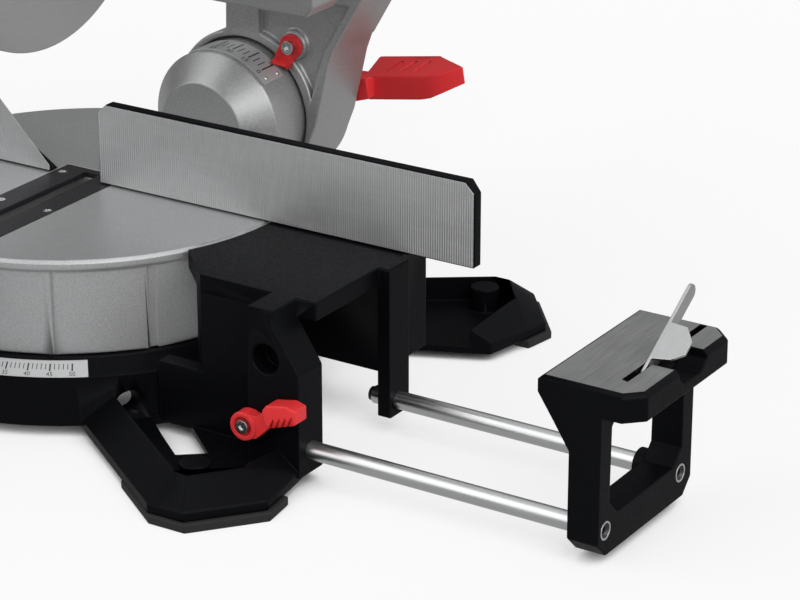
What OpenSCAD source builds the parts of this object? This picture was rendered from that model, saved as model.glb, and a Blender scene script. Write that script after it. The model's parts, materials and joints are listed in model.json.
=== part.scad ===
// Sliding mitre saw: base with extension rails, turntable, tilting arm, slide carriage and saw head.
// Millimetres. Origin on the turntable axis at bench level, +X right, +Y towards the back, +Z up.

/* [Table] */
// Height of the table top above the bench
table_h = 116; // [110:1:130]
// Radius of the turntable's rim
rim_r = 155; // [150:1:158]
// Height of the rim band under the table top
rim_h = 8; // [6:0.5:12]
// Step from the rim in to the turntable's wall
rim_step = 3; // [2:0.5:5]
// Thickness of cast walls
cast_t = 6; // [5:0.5:8]
// Length of the turntable's front arm, from the axis
arm_len = 282; // [276:1:300]
// Width of the blade slot in the table insert
kerf_w = 13; // [12:0.5:16]

/* [Base] */
// Width of the fixed ring's ledge outside the turntable's rim
ring_lip = 15; // [14:0.5:18]
// Height of the fixed ring's top seat
ring_top = 50; // [48:0.5:52]
// Distance of the wing's end from the turntable axis
wing_x = 266; // [262:1:272]
// Thickness of the wing's table plate
wing_t = 12; // [9:0.5:14]
// Front face of the rail block, in front of the fence
block_y = 126; // [124:1:130]
// Depth of the rail block
block_d = 26; // [24:0.5:30]
// Bench bolt spacing, side to side
bolt_dx = 440; // [430:1:446]
// Bench bolt spacing, front to back
bolt_dy = 344; // [336:1:350]
// Bench bolt hole diameter
bolt_d = 8.4; // [6.4:0.1:10.4]
// Thickness of the foot soles
sole_t = 5.6; // [4:0.2:8]

/* [Fence] */
// Height of the fence above the table
fence_h = 58; // [50:1:62]
// Thickness of the fence wall
fence_t = 8; // [6:0.5:10]
// Distance from the blade line to the fence's inner end
fence_in = 17; // [15:0.5:20]
// Distance from the blade line to the fence's outer end
fence_out = 315; // [300:1:330]

/* [Extension] */
// Rail diameter
rail_d = 12; // [10:0.5:14]
// Height of the rail axes above the bench
rail_z = 23; // [21:0.5:24]
// Distance of the front rail in front of the fence
rail_front = 113; // [112:0.5:114]
// Distance of the rear rail in front of the fence
rail_rear = 19; // [18:0.5:20]
// Inner end of the rails, pulled out
rail_x0 = 253; // [251:0.5:256]
// Outer face of the bracket frame, pulled out
frame_x = 475; // [465:1:490]
// Thickness of the bracket frame
frame_t = 21; // [18:0.5:24]
// Thickness of the bracket's top plate
plate_t = 18; // [15:0.5:20]
// Sheet thickness of the flip stop
stop_t = 2; // [1.5:0.1:2.5]

/* [Bevel] */
// Height of the bevel axis below the table top
bevel_drop = 4; // [2:0.5:6]
// Radius of the bevel drum's band
drum_r = 53; // [51:0.5:55]
// Radius of the drum's flat front disc
drum_cap_r = 34; // [30:0.5:40]
// Distance of the drum's front disc behind the fence
drum_y = 139; // [137:0.5:142]
// Diameter of the bevel axle
axle_d = 20; // [16:0.5:24]

/* [Slide] */
// Slide tube diameter
tube_d = 24; // [20:0.5:26]
// Spacing of the two slide tubes
tube_dx = 70; // [64:0.5:76]
// Offset of the tube pair's centre from the blade line
tube_cx = 50; // [46:0.5:54]
// Height of the tube axes above the table
tube_z = 115; // [112:0.5:120]
// Slide travel
slide_travel = 180; // [150:1:190]

/* [Head] */
// Blade diameter
blade_d = 216; // [210:1:216]
// Blade body thickness
blade_t = 1.8; // [1.6:0.1:2.4]
// Number of blade teeth
blade_teeth = 40; // [24:4:60]
// Arbor hole diameter of the blade
arbor_d = 30; // [25:0.5:30]
// Pivot to arbor distance
head_r = 170; // [166:0.5:174]
// Head angle above level at rest, raised
head_up = 22; // [21:0.5:24]
// Motor housing diameter
motor_d = 80; // [70:1:86]
// Length of the motor housing
motor_len = 118; // [100:1:130]

/* [Hidden] */
$fn = 64;

// Gaps: between parts that turn or slide past each other, in running fits, and between flat seats
gap = 0.4;
fit = 0.05;
big = 600;

black = [0.09, 0.09, 0.10];
silver = [0.72, 0.73, 0.74];
cast_grey = [0.52, 0.53, 0.54];
steel = [0.78, 0.79, 0.80];
red = [0.80, 0.08, 0.10];
rubber = [0.05, 0.05, 0.05];

// Turntable and ring
wall_r = rim_r - rim_step;
wall_bottom = ring_top + gap;
turn_clear = rim_r + 2.5;
ring_r = rim_r + ring_lip;
scale_seat = 1.5;
scale_gap = 0.5;
// Mitre scale: its two ends and its zero mark, in degrees from the front
scale_from = -67;
scale_to = 39;
mitre_zero = -14.5;
ring_web_z = rail_z + rail_d / 2 + 3;
ring_bottom = 8;
web_t = 8;
scale_drop = 8;
pivot_d = 12;
hub_r = 20;
hub_top = table_h - 24;
trough_w = 34;
trough_z = table_h - 20;
kerf_front = arm_len - 12;
kerf_back = 14;
insert_w = 52;
insert_t = 4;
mitre_max = 50;
grip_z = table_h - 19;
handle_screw_d = 8;
detent_y = -arm_len + 58;
detent_z = table_h - 44;
// Grooves that part the wall into panels: angle from the front, width and depth
wall_grooves = [[31, 1, 0.8], [55.5, 5, 1.6]];
sweep_gap = 3;

// Wing and rails
block_x = wing_x - 38;
block_top_x = wing_x - 18.5;
block_hole_d = 19.5;
wing_in = 90;
web_x = ring_r - 30;
beam_rib_x = [190, 240];
block_bore_x = 200;
rail_reach = 60;
beam_front = 26;
beam_back = 28;
beam_z = 43;
plate_x0 = wing_x - 4;
plate_x1 = wing_x + 4;
plate_y0 = rail_rear + 10;
plate_y1 = rail_rear - 13;
plate_z = rail_z - 10;
lever_x = block_x + 2.5;
lever_z = 39;
lever_head_r = 9.5;
lever_t = 10;
lever_screw_r = 3;
// Foot of the fence on the wing, with its screws and ribs at shares of its length
fence_foot_x = turn_clear + 12;
fence_foot_w = wing_x - 8 - fence_foot_x;
fence_screw_x = [for (share = [0.23, 0.865]) fence_foot_x + share * fence_foot_w];
fence_rib_x = [for (share = [0, 0.48, 0.64]) fence_foot_x + share * fence_foot_w];
fence_lean = 1.75;

// Feet: the outline starts at the ring and runs round the pad
foot_low = 12;
foot_high = 27;
foot_slope_w = 19;
foot_floor = 10;
foot_root = [ring_r * 0.882, -ring_r * 0.365];
foot_plan = [[ring_r * 0.565, -ring_r * 0.765], [212, -211], [238, -210.5], [272, -168.6], [269, -148],
             [262, -112], foot_root];
foot_edges = 4;
foot_pocket = [[ring_r * 0.635, -ring_r * 0.665], [218.7, -190], [227.6, -190], [250, -162.5], [248, -100],
               foot_root];
foot_window = [[ring_r * 0.805, -ring_r * 0.63], [ring_r * 0.848, -ring_r * 0.556],
               [ring_r * 0.887, -ring_r * 0.525], [198, -128], [182, -141]];
pad_x = 170;
pad_y = 146;
bolt_boss_r = 10;

// Bracket
bracket_in = frame_x - 43;
bracket_out = frame_x + 24;
bracket_y0 = -rail_front - 9;
bracket_y1 = 1;
bracket_bottom = rail_z - 17;
bar_top = rail_z + 7;
leg_front_y = -rail_front + 4;
leg_rear_y = -rail_rear;
leg_rear_y1 = -rail_rear + 14;
chamfer = 11;
notch_y0 = -72;
notch_y1 = -37;
notch_d = 11;
stop_x = frame_x + 2.3;
stop_y = notch_y0 - 4;
stop_z = table_h - 6;
stop_len = 74;
stop_w = 10;
stop_lift = 32;
flag_at = 9;
flag_w = 19;
flag_len = 28;
pin_d = 4;
pin_seat = 8;
slot_y0 = stop_y - 26;
slot_y1 = bracket_y1 - 4.5;
lip_t = 10.5;
edge_cut = 2.5;

// Bevel
bevel_z = table_h - bevel_drop;
drum_rim_y = drum_y + 20;
drum_back = drum_y + 62;
deck_top = bevel_z - drum_r - 1.5;
deck_w = 46;
deck_front = 90;
collar_y = drum_rim_y + 33;
collar_r = drum_r + 7;
collar_bore = drum_r + 2.2;
collar_wide = collar_r + 3;
arm_seat = drum_back + 1;
arm_back = drum_back + 44;
deck_back = collar_y - 2;
deck_screw_y = [drum_y + 12, deck_back - 12];
deck_screw_x = 28;
panel_depth = 5;
ridge_w = 7.5;
scale_t = 0.8;
pointer_x = 44.5;
pointer_z = 56;
pointer_r = 9;
pointer_screw_d = 5;
lever_rise = 9.8;
lever_depth = 24;
paddle_in = 67;
paddle_low = 8;
paddle_top = 17;
groove_d = 1;
pointer_t = 3;
pointer_w = 5;

// Slide
tube_x0 = tube_cx - tube_dx / 2;
tube_x1 = tube_cx + tube_dx / 2;
tube_zz = table_h + tube_z;
bush_t = 3;
carriage_y0 = 130;
carriage_y1 = 165;
tube_end = arm_back + slide_travel + 14;
cap_t = 12;
cap_wall = 7;
knob_screw_d = 8;
arm_x1 = tube_x1 + tube_d / 2 + bush_t + 12;
knob_y = (collar_y + arm_back) / 2;
head_pivot_y = 118;
head_pivot_z = table_h + 156;
ear_x0 = 20;
ear_x1 = 88;
ear_t = 12;
head_pin_d = 14;
head_hub_r = 20;

// Head, drawn lowered and then raised about its pivot to the rest pose
blade_r = blade_d / 2;
blade_dip = 8;
low_z = table_h + blade_r - blade_dip;
low_a = asin((low_z - head_pivot_z) / head_r);
low_y = head_pivot_y - head_r * cos(low_a);
chop = head_up - low_a;
pivot_dy = head_pivot_y - low_y;
pivot_dz = head_pivot_z - low_z;
guard_r = blade_r + 6;
guard_half = 11;
guard_t = 1.5;
guard_open = 135;
cover_r = guard_r + 1.5;
cover_half = guard_half + 1.5;
cover_t = 2.5;
cover_out = cover_r + cover_t;
nose_r = 24;
spindle_d = 16;
flange_r = 20;
gear_x0 = cover_half + cover_t;
gear_x1 = 58;
gear_r = 36;
motor_y = 22;
motor_z = 26;
handle_a = 140;
handle_len = 124;
handle_w = 66;
grip_w = 17;
handle_r = cover_out + handle_w / 2 + 2;
handle_half = gear_x0;
trigger_w = 12;
trigger_half = 22;
spout_d = 32;
spout_z = 104;
spout_end = 112;
arbor_bolt_d = 8;
guard_lap = 1;
guard_sweep = 170;
button_d = 12;

// Copies the children to both sides of the blade line
module both_sides() {
    children();
    mirror([1, 0, 0]) children();
}

// Places an outline drawn in (x, z) so that it runs from y0 to y1
module along_y(y0, y1) {
    translate([0, y1, 0]) rotate([90, 0, 0]) linear_extrude(y1 - y0) children();
}

// Places an outline drawn in (y, z) so that it runs from x0 to x1
module along_x(x0, x1) {
    translate([x0, 0, 0]) rotate([90, 0, 90]) linear_extrude(x1 - x0) children();
}

// Round bar along X or Y from one end to the other
module bar_x(d, x0, x1, y, z) {
    translate([x0, y, z]) rotate([0, 90, 0]) cylinder(d = d, h = x1 - x0);
}
module bar_y(d, y0, y1, x, z) {
    translate([x, y1, z]) rotate([90, 0, 0]) cylinder(d = d, h = y1 - y0);
}

// Annular sector between two radii and two angles
module sector(r0, r1, a0, a1) {
    steps = ceil((a1 - a0) / 6);
    far = [for (i = [0:steps]) a0 + (a1 - a0) * i / steps];
    intersection() {
        difference() {
            circle(r1, $fn = 160);
            circle(r0, $fn = 160);
        }
        polygon(concat([[0, 0]], [for (a = far) 1.2 * r1 * [cos(a), sin(a)]]));
    }
}

// Outline of a bar with round ends
module stadium(length, width) {
    square([length - width, width], center = true);
    for (s = [-1, 1]) translate([s * (length - width) / 2, 0]) circle(d = width);
}

// Profile of the rail block in (x, z)
module block_outline() {
    polygon([[block_x, table_h], [block_top_x, table_h], [block_top_x, table_h - 11], [wing_x, table_h - 39],
             [wing_x, 8], [wing_x - 17, 2], [block_x, 2]]);
}

// Slope that leans in from one edge of a foot's outline
module foot_slope(p, q) {
    translate([p[0], p[1], foot_low]) rotate(atan2(q[1] - p[1], q[0] - p[0])) along_x(-big / 2, big / 2)
        polygon([[-1, -1], [foot_slope_w + 20, (foot_high - foot_low) * (foot_slope_w + 20) / foot_slope_w],
                 [-1, big / 4]]);
}

// One foot: a tray with sloped outer walls, a window in its floor and a boss over the bench bolt
module foot() {
    difference() {
        translate([0, 0, sole_t]) linear_extrude(foot_high - sole_t) polygon(foot_plan);
        for (i = [0:foot_edges - 1]) foot_slope(foot_plan[i], foot_plan[i + 1]);
        translate([0, 0, foot_floor]) linear_extrude(foot_high) difference() {
            polygon(foot_pocket);
            translate([bolt_dx / 2, -bolt_dy / 2]) circle(bolt_boss_r);
        }
        linear_extrude(foot_high) polygon(foot_window);
    }
}

module wing() {
    difference() {
        union() {
            translate([0, 0, table_h - wing_t]) linear_extrude(wing_t)
                polygon([[wing_in, -block_y + block_d], [plate_x0, -block_y + block_d], [plate_x0, beam_back],
                         [wing_in, beam_back]]);
            along_y(-block_y, -block_y + block_d) block_outline();
            translate([web_x, -block_y + block_d - 1, ring_bottom])
                cube([block_x - web_x + 4, 12, table_h - wing_t - ring_bottom + 1]);
            translate([wing_in, -beam_front, beam_z])
                cube([plate_x0 - wing_in, beam_front + beam_back, table_h - wing_t - beam_z]);
            translate([plate_x0 - 1, -plate_y0, plate_z])
                cube([plate_x1 - plate_x0 + 1, plate_y0 - plate_y1, table_h - plate_z]);
            for (x = beam_rib_x)
                translate([x, beam_back - 8, beam_z]) cube([8, 20, 30]);
        }
        bar_y(block_hole_d, -block_y - 1, -block_y + 14, block_x + 13.5, table_h - 33);
    }
}

// Room for the mitre scale where a web crosses it
module scale_relief() {
    intersection() {
        rotate_extrude($fn = 160) polygon([
            [ring_r - 12, ring_top - scale_drop], [ring_r + 2, ring_top - scale_drop],
            [turn_clear + 4, ring_top + 1], [turn_clear - 12, ring_top + 1]]);
        linear_extrude(table_h) sector(turn_clear - 20, ring_r + 10, scale_from - 91, scale_to - 89);
    }
}

module base_casting() {
    color(black) difference() {
        union() {
            difference() {
                union() {
                    both_sides() wing();
                    both_sides() for (m = [0, 1]) mirror([0, m, 0]) foot();
                }
                translate([0, 0, ring_top]) cylinder(r = turn_clear, h = table_h, $fn = 160);
                both_sides() for (a = [mitre_max - 24:12:mitre_max]) translate([0, 0, ring_top])
                    rotate(a) linear_extrude(table_h) front_arm_plan(-sweep_gap);
                translate([0, 0, -1]) cylinder(r = ring_r - cast_t, h = ring_top + 2, $fn = 160);
                scale_relief();
            }
            rotate_extrude($fn = 160) polygon([
                [0, ring_web_z], [ring_r - 10, ring_web_z], [ring_r - 10, ring_bottom], [ring_r, ring_bottom],
                [ring_r, ring_top - scale_drop],
                [ring_r - scale_seat, ring_top - scale_drop], [turn_clear, ring_top],
                [wall_r - cast_t - 4, ring_top],
                [wall_r - cast_t - 4, ring_web_z + web_t], [hub_r + 4, ring_web_z + web_t],
                [hub_r + 4, ring_top], [0, ring_top]]);
        }
        translate([0, 0, ring_web_z - 1]) cylinder(d = pivot_d + 2 * fit, h = big);
        both_sides() for (y = [-rail_front, -rail_rear]) {
            bar_x(rail_d + 2 * fit, block_bore_x, plate_x1 + 1, y, rail_z);
            bar_x(rail_d + 3, rail_reach, y == -rail_front ? block_x + 4 : plate_x0 - 3, y, rail_z);
        }
        both_sides() bar_x(rail_d + 10, block_x + 2, plate_x0 - 1, -rail_rear, rail_z);
        for (x = [-1, 1], y = [-1, 1]) translate([x * bolt_dx / 2, y * bolt_dy / 2, 0])
            cylinder(d = bolt_d, h = 15);
        both_sides() bar_y(2 * lever_screw_r + 2 * fit, -block_y - 1, -block_y + 16, lever_x, lever_z);
        both_sides() for (x = fence_screw_x)
            translate([x, fence_t + 10, table_h - 14]) cylinder(d = 6 + 2 * fit, h = 20);
    }
}

module foot_soles() {
    color(rubber) difference() {
        both_sides() for (m = [0, 1]) mirror([0, m, 0]) linear_extrude(sole_t) intersection() {
            polygon([for (p = foot_plan) p * 1.012]);
            translate([pad_x, -big]) square([big, big - pad_y]);
        }
        for (x = [-1, 1], y = [-1, 1]) translate([x * bolt_dx / 2, y * bolt_dy / 2, -1])
            cylinder(d = bolt_d, h = 15);
    }
}

// Conical scale plate, on the ledge below the ring's sloped rim
module mitre_scale() {
    bottom_r = ring_r - scale_seat + scale_gap;
    top_r = turn_clear + scale_gap;
    color([0.8, 0.8, 0.8]) intersection() {
        rotate_extrude($fn = 160) polygon([
            [bottom_r, ring_top - scale_drop], [bottom_r + scale_t, ring_top - scale_drop],
            [top_r + scale_t, ring_top], [top_r, ring_top]]);
        linear_extrude(ring_top - 0.6) sector(top_r - 10, ring_r + 10, scale_from - 90, scale_to - 90);
    }
}

module turntable_pivot_bolt() {
    color(steel) {
        translate([0, 0, ring_web_z - 8]) cylinder(d = 22, h = 8, $fn = 6);
        translate([0, 0, ring_web_z - 1]) cylinder(d = pivot_d, h = hub_top - ring_web_z - 6);
    }
}

// Fence outline in (x, z) above the table: the inner end leans away from the tilting blade where asked
module fence_outline(lean) {
    top_in = fence_in + lean * fence_h;
    cut = lean > 0 ? 0 : 8;
    polygon([[fence_in + lean * 4, 0], [top_in, fence_h - cut], [top_in + cut, fence_h],
             [fence_out - 6, fence_h], [fence_out, fence_h - 8], [fence_out, 0]]);
}

module fence(lean) {
    difference() {
        union() {
            translate([0, 0, table_h]) along_y(0, fence_t) fence_outline(lean);
            translate([fence_foot_x, fence_t - 1, table_h]) cube([fence_foot_w, 21, 9]);
            for (x = fence_rib_x) along_x(x, x + 7)
                polygon([[fence_t - 1, table_h + 8], [fence_t + 19, table_h + 8],
                         [fence_t - 1, table_h + fence_h - 12]]);
        }
        translate([0, -1, table_h - 1]) cube([turn_clear + 3, fence_t + 2, 1 + 2 * gap]);
        translate([wing_x, -1, table_h - 1]) cube([fence_out, fence_t + 2, 1 + 2 * gap]);
        for (x = fence_screw_x) translate([x, fence_t + 10, table_h - 1]) cylinder(d = 6.6, h = 20);
    }
}

module fence_right() { color(silver) fence(0); }
module fence_left() { color(silver) mirror([1, 0, 0]) fence(fence_lean); }

module fence_screws() {
    color(steel) both_sides() for (x = fence_screw_x) translate([x, fence_t + 10, table_h]) {
        translate([0, 0, -12]) cylinder(d = 6, h = 22);
        difference() {
            translate([0, 0, 9]) cylinder(d = 10, h = 6);
            translate([0, 0, 12]) cylinder(d = 5, h = 4, $fn = 6);
        }
    }
}

module rails() {
    difference() {
        for (y = [-rail_front, -rail_rear]) bar_x(rail_d, rail_x0, frame_x, y, rail_z);
        for (y = [-rail_front, -rail_rear]) bar_x(rail_d - 2.6, rail_x0 - 1, frame_x + 1, y, rail_z);
    }
}

// Stop collar at the inner end of each rail
module rail_collars() {
    for (y = [-rail_front, -rail_rear]) difference() {
        bar_x(rail_d - 2.6 - 2 * fit, rail_x0 - 3, rail_x0 + 8, y, rail_z);
        bar_x(4, rail_x0 - 4, rail_x0 + 3, y, rail_z);
    }
}

module rail_end_screws() {
    for (y = [-rail_front, -rail_rear]) difference() {
        bar_x(rail_d - 2.6 - 2 * fit, frame_x - 12, frame_x - 1.5, y, rail_z);
        translate([frame_x - 5, y, rail_z]) rotate([0, 90, 0]) cylinder(d = 5, h = 4, $fn = 6);
    }
}

// Bracket frame in (y, z): bottom bar, two legs and the window between them
module frame_outline() {
    top = table_h - plate_t + 1;
    cut = 10;
    difference() {
        polygon([[bracket_y0, top], [bracket_y0, bracket_bottom + cut], [bracket_y0 + cut, bracket_bottom],
                 [leg_rear_y1 - cut, bracket_bottom], [leg_rear_y1, bracket_bottom + cut],
                 [leg_rear_y1, top]]);
        polygon([[leg_front_y, bar_top + cut], [leg_front_y + cut, bar_top], [leg_rear_y - cut, bar_top],
                 [leg_rear_y, bar_top + cut], [leg_rear_y, top - cut - 1], [leg_rear_y - cut, top - 1],
                 [leg_front_y + cut, top - 1], [leg_front_y, top - cut - 1]]);
    }
}

// Cutter for a sloped top edge of the bracket that faces +x, along y
module top_edge_cut() {
    reach = bracket_y1 - bracket_y0;
    along_y(-reach, reach) polygon([[-edge_cut - 1, table_h + 1], [1, table_h + 1], [1, table_h - edge_cut - 1]]);
}

// Bracket plate with two cut corners, thin at its inner edge
module bracket_plate(root_x, root_z) {
    lip_z = table_h - lip_t;
    difference() {
        translate([0, 0, table_h - plate_t]) linear_extrude(plate_t)
            polygon([[bracket_in, bracket_y0], [bracket_out - chamfer, bracket_y0],
                     [bracket_out, bracket_y0 + chamfer], [bracket_out, bracket_y1 - chamfer],
                     [bracket_out - chamfer, bracket_y1], [bracket_in, bracket_y1]]);
        along_y(bracket_y0 - 1, bracket_y1 + 1)
            polygon([[2 * bracket_in - root_x, 2 * lip_z - root_z], [root_x, root_z],
                     [2 * bracket_in - root_x, root_z]]);
        translate([bracket_out, 0, 0]) top_edge_cut();
        translate([bracket_in, 0, 0]) rotate([0, 0, 180]) top_edge_cut();
        translate([frame_x, bracket_y0, 0]) rotate([0, 0, -90]) top_edge_cut();
        translate([frame_x, bracket_y1, 0]) rotate([0, 0, 90]) top_edge_cut();
        translate([bracket_out - chamfer, bracket_y0, 0]) rotate([0, 0, -45]) top_edge_cut();
        translate([bracket_out - chamfer, bracket_y1, 0]) rotate([0, 0, 45]) top_edge_cut();
    }
}

module end_bracket() {
    frame_in = frame_x - frame_t;
    slot_w = stop_t + 2;
    gusset_z = table_h - 44;
    difference() {
        union() {
            bracket_plate(frame_in + 1, gusset_z);
            along_x(frame_in, frame_x) frame_outline();
            for (y = [[bracket_y0, leg_front_y], [leg_rear_y, leg_rear_y1]]) along_y(y[0], y[1])
                polygon([[bracket_in, table_h - lip_t], [frame_in + 1, gusset_z],
                         [frame_in + 1, table_h - plate_t + 1], [bracket_in, table_h - lip_t + 1]]);
            bar_x(rail_d + 8, frame_in - 8, frame_in + 1, -rail_rear, rail_z);
        }
        for (y = [-rail_front, -rail_rear]) bar_x(rail_d + 2 * fit, frame_in - 15, frame_x + 1, y, rail_z);
        translate([stop_x - 1, slot_y0, table_h - plate_t - 1])
            cube([slot_w, slot_y1 - slot_y0, plate_t + 2]);
        along_x(stop_x - 1, bracket_out + 1) polygon([
            [notch_y0, table_h + 1], [notch_y0, table_h - 5], [notch_y0 + 6, table_h - notch_d],
            [notch_y1 - 8, table_h - notch_d], [notch_y1, table_h - 5], [notch_y1, table_h + 1]]);
        bar_x(pin_d + 2 * fit, bracket_in - 1, stop_x + stop_t + pin_seat + 0.5, stop_y, stop_z);
    }
}

module stop_pin() {
    bar_x(pin_d, stop_x - pin_seat, stop_x + stop_t + pin_seat, stop_y, stop_z);
}

// Sheet stop with a tongue and a flag that is bent outwards, drawn lifted
module flip_stop() {
    translate([0, stop_y, stop_z]) rotate([stop_lift, 0, 0]) {
        difference() {
            along_x(stop_x, stop_x + stop_t) union() {
                translate([stop_len / 2 - stop_w / 2, 0]) stadium(stop_len, stop_w);
                polygon([[0, 0], [12, -stop_w / 2 - 1], [40, -stop_w / 2 - 1], [46, 0]]);
            }
            bar_x(pin_d + 2 * fit, stop_x - 1, stop_x + stop_t + 1, 0, 0);
        }
        translate([stop_x + stop_t - 0.5, flag_at, stop_w / 2 - stop_t]) linear_extrude(stop_t)
            polygon([[0, 0], [flag_w - 7, 2], [flag_w, 8], [flag_w, flag_len - 10],
                     [flag_w - 7, flag_len - 1], [0, flag_len]]);
    }
}

// Clamp lever on the front of the rail block: a ringed head, a neck and a ribbed grip
module clamp_lever() {
    y1 = -block_y - gap;
    x = lever_x;
    difference() {
        union() {
            bar_y(2 * lever_head_r, y1 - lever_t, y1, x, lever_z);
            along_y(y1 - lever_t + 1, y1 - 1) polygon([
                [x, lever_z + lever_head_r - 1], [x + 11, lever_z + 9], [x + 19, lever_z + 17],
                [x + 22, lever_z + 6], [x + 10, lever_z - 6], [x + 2, lever_z - lever_head_r + 1]]);
            along_y(y1 - lever_t - 3, y1) polygon([
                [x + 17, lever_z + 16], [x + 20, lever_z + 20], [x + 35, lever_z + 23],
                [x + 42, lever_z + 21], [x + 42, lever_z + 12], [x + 24, lever_z + 6],
                [x + 19, lever_z + 7]]);
        }
        bar_y(2 * lever_screw_r + 2 * fit, y1 - lever_t - 1, y1 + 1, x, lever_z);
        bar_y(lever_head_r + 3, y1 - lever_t - 1, y1 - lever_t + 3, x, lever_z);
        for (i = [0:3]) along_y(y1 - lever_t - 4, y1 - lever_t - 2)
            translate([x + 22 + 4.5 * i, lever_z + 5 + 1.5 * i]) rotate(-24) square([1.5, 8]);
    }
}

module clamp_screw() {
    y1 = -block_y - gap - lever_t;
    x = lever_x;
    bar_y(2 * lever_screw_r, y1 + 2, -block_y + 15, x, lever_z);
    difference() {
        bar_y(9, y1 - 1, y1 + 3, x, lever_z);
        translate([x, y1, lever_z]) rotate([90, 0, 0]) cylinder(d = 4, h = 3, $fn = 6);
    }
}

module rails_right() { color(steel) rails(); }
module rails_left() { color(steel) mirror([1, 0, 0]) rails(); }
module rail_collars_right() { color(black) rail_collars(); }
module rail_collars_left() { color(black) mirror([1, 0, 0]) rail_collars(); }
module rail_end_screws_right() { color(steel) rail_end_screws(); }
module rail_end_screws_left() { color(steel) mirror([1, 0, 0]) rail_end_screws(); }
module end_bracket_right() { color(black) end_bracket(); }
module end_bracket_left() { color(black) mirror([1, 0, 0]) end_bracket(); }
module stop_pin_right() { color(steel) stop_pin(); }
module stop_pin_left() { color(steel) mirror([1, 0, 0]) stop_pin(); }
module flip_stop_right() { color(silver) flip_stop(); }
module flip_stop_left() { color(silver) mirror([1, 0, 0]) flip_stop(); }
module clamp_lever_right() { color(red) clamp_lever(); }
module clamp_lever_left() { color(red) mirror([1, 0, 0]) clamp_lever(); }
module clamp_screw_right() { color(steel) clamp_screw(); }
module clamp_screw_left() { color(steel) mirror([1, 0, 0]) clamp_screw(); }

// Front arm of the turntable in plan
module front_arm_plan(inset) {
    root = rim_r * 0.245 - inset;
    root_y = -rim_r * 0.774;
    polygon([[-root, root_y], [-27 + inset, -arm_len + 12 + inset], [-20 + inset, -arm_len + inset],
             [20 - inset, -arm_len + inset], [27 - inset, -arm_len + 12 + inset], [root, root_y]]);
}

module turntable() {
    inner_r = wall_r - cast_t;
    floor_z = table_h - 9;
    color(silver) difference() {
        union() {
            rotate_extrude($fn = 160) polygon([
                [0, wall_bottom], [hub_r, wall_bottom], [hub_r, floor_z], [inner_r, floor_z],
                [inner_r, wall_bottom], [wall_r, wall_bottom], [wall_r, table_h - rim_h],
                [rim_r, table_h - rim_h + 1.5],
                [rim_r, table_h - 2], [rim_r - 2, table_h], [0, table_h]]);
            for (a = [30:60:330]) rotate(a) translate([hub_r - 2, -3, wall_bottom + 12])
                cube([inner_r - hub_r + 3, 6, floor_z - wall_bottom - 11]);
            intersection() {
                translate([0, 0, wall_bottom]) linear_extrude(table_h - wall_bottom) front_arm_plan(0);
                along_x(-60, 60) polygon([[-110, wall_bottom], [-180, wall_bottom],
                    [-arm_len - 1, table_h - 38], [-arm_len - 1, table_h], [-110, table_h]]);
            }
            translate([-trough_w / 2 - 5, -inner_r, trough_z - 5])
                cube([trough_w + 10, 2 * inner_r, floor_z - trough_z + 6]);
            translate([-deck_w - 6, deck_front, wall_bottom])
                cube([2 * deck_w + 12, deck_back - deck_front, deck_top - wall_bottom]);
        }
        translate([0, 0, wall_bottom - 1]) cylinder(d = pivot_d + 2 * fit, h = hub_top - wall_bottom);
        translate([-trough_w / 2, -kerf_front, trough_z]) cube([trough_w, kerf_front + kerf_back, 40]);
        translate([-insert_w / 2, -kerf_front - 6, table_h - insert_t])
            cube([insert_w, kerf_front + kerf_back + 12, 10]);
        bar_y(handle_screw_d + 2 * fit, -arm_len - 1, -kerf_front - 2, 0, grip_z);
        translate([-9, -arm_len - 1, table_h - 60]) cube([18, 74, 22]);
        translate([-drum_r - 3, drum_y - 3, deck_top]) cube([2 * drum_r + 6, big, table_h]);
        bar_x(pin_d + 2 * fit, -40, 40, detent_y, detent_z);
        for (s = [-1, 1], g = wall_grooves) rotate(s * g[0] - 90)
            translate([wall_r - g[2], -g[1] / 2, wall_bottom - 1])
                cube([big, g[1], table_h - rim_h - wall_bottom + 1]);
        for (s = [-1, 1], y = deck_screw_y)
            translate([s * deck_screw_x, y, wall_bottom - 1]) cylinder(d = 6.6, h = 20);
    }
}

// Table insert with the blade slot, in two halves joined at the ends
module kerf_insert() {
    color(red) difference() {
        translate([-insert_w / 2 + gap, -kerf_front - 6 + gap, table_h - insert_t])
            cube([insert_w - 2 * gap, kerf_front + kerf_back + 12 - 2 * gap, insert_t]);
        translate([-kerf_w / 2, -kerf_front, table_h - insert_t - 1])
            cube([kerf_w, kerf_front + kerf_back, 10]);
        for (s = [-1, 1], y = [-kerf_front + 12, -150, -60, kerf_back - 8])
            translate([s * 20, y, table_h - 2]) cylinder(d1 = 3, d2 = 7.2, h = 2.1);
    }
}

module mitre_pointer() {
    color(red) rotate(mitre_zero) along_x(-pointer_w / 2 - 2, pointer_w / 2 - 2)
        polygon([[-wall_r - 0.1, ring_top + 14], [-wall_r - 2, ring_top + 14], [-ring_r + 3, ring_top + 1],
                 [-ring_r + 3, ring_top - 1], [-wall_r - 0.1, ring_top + 6]]);
}

// Grip that clamps the turntable, on a screw in the front arm
module mitre_handle() {
    y0 = -arm_len - gap;
    color(black) difference() {
        translate([0, y0, grip_z]) rotate([90, 0, 0]) rotate_extrude() polygon([
            [0, 0], [15, 0], [17, 3], [17, 8], [12, 16], [13, 30], [18, 44], [18, 54], [14, 60], [0, 62]]);
        for (a = [0:60:300]) translate([0, y0, grip_z]) rotate([0, a, 0]) translate([20.5, 0, 0])
            rotate([90, 0, 0]) translate([0, 0, 34]) cylinder(r = 5, h = 40);
        bar_y(handle_screw_d + 2 * fit, y0 - 40, y0 + 1, 0, grip_z);
    }
}

module mitre_handle_screw() {
    color(steel) bar_y(handle_screw_d, -arm_len - 36, -kerf_front - 3, 0, grip_z);
}

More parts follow.
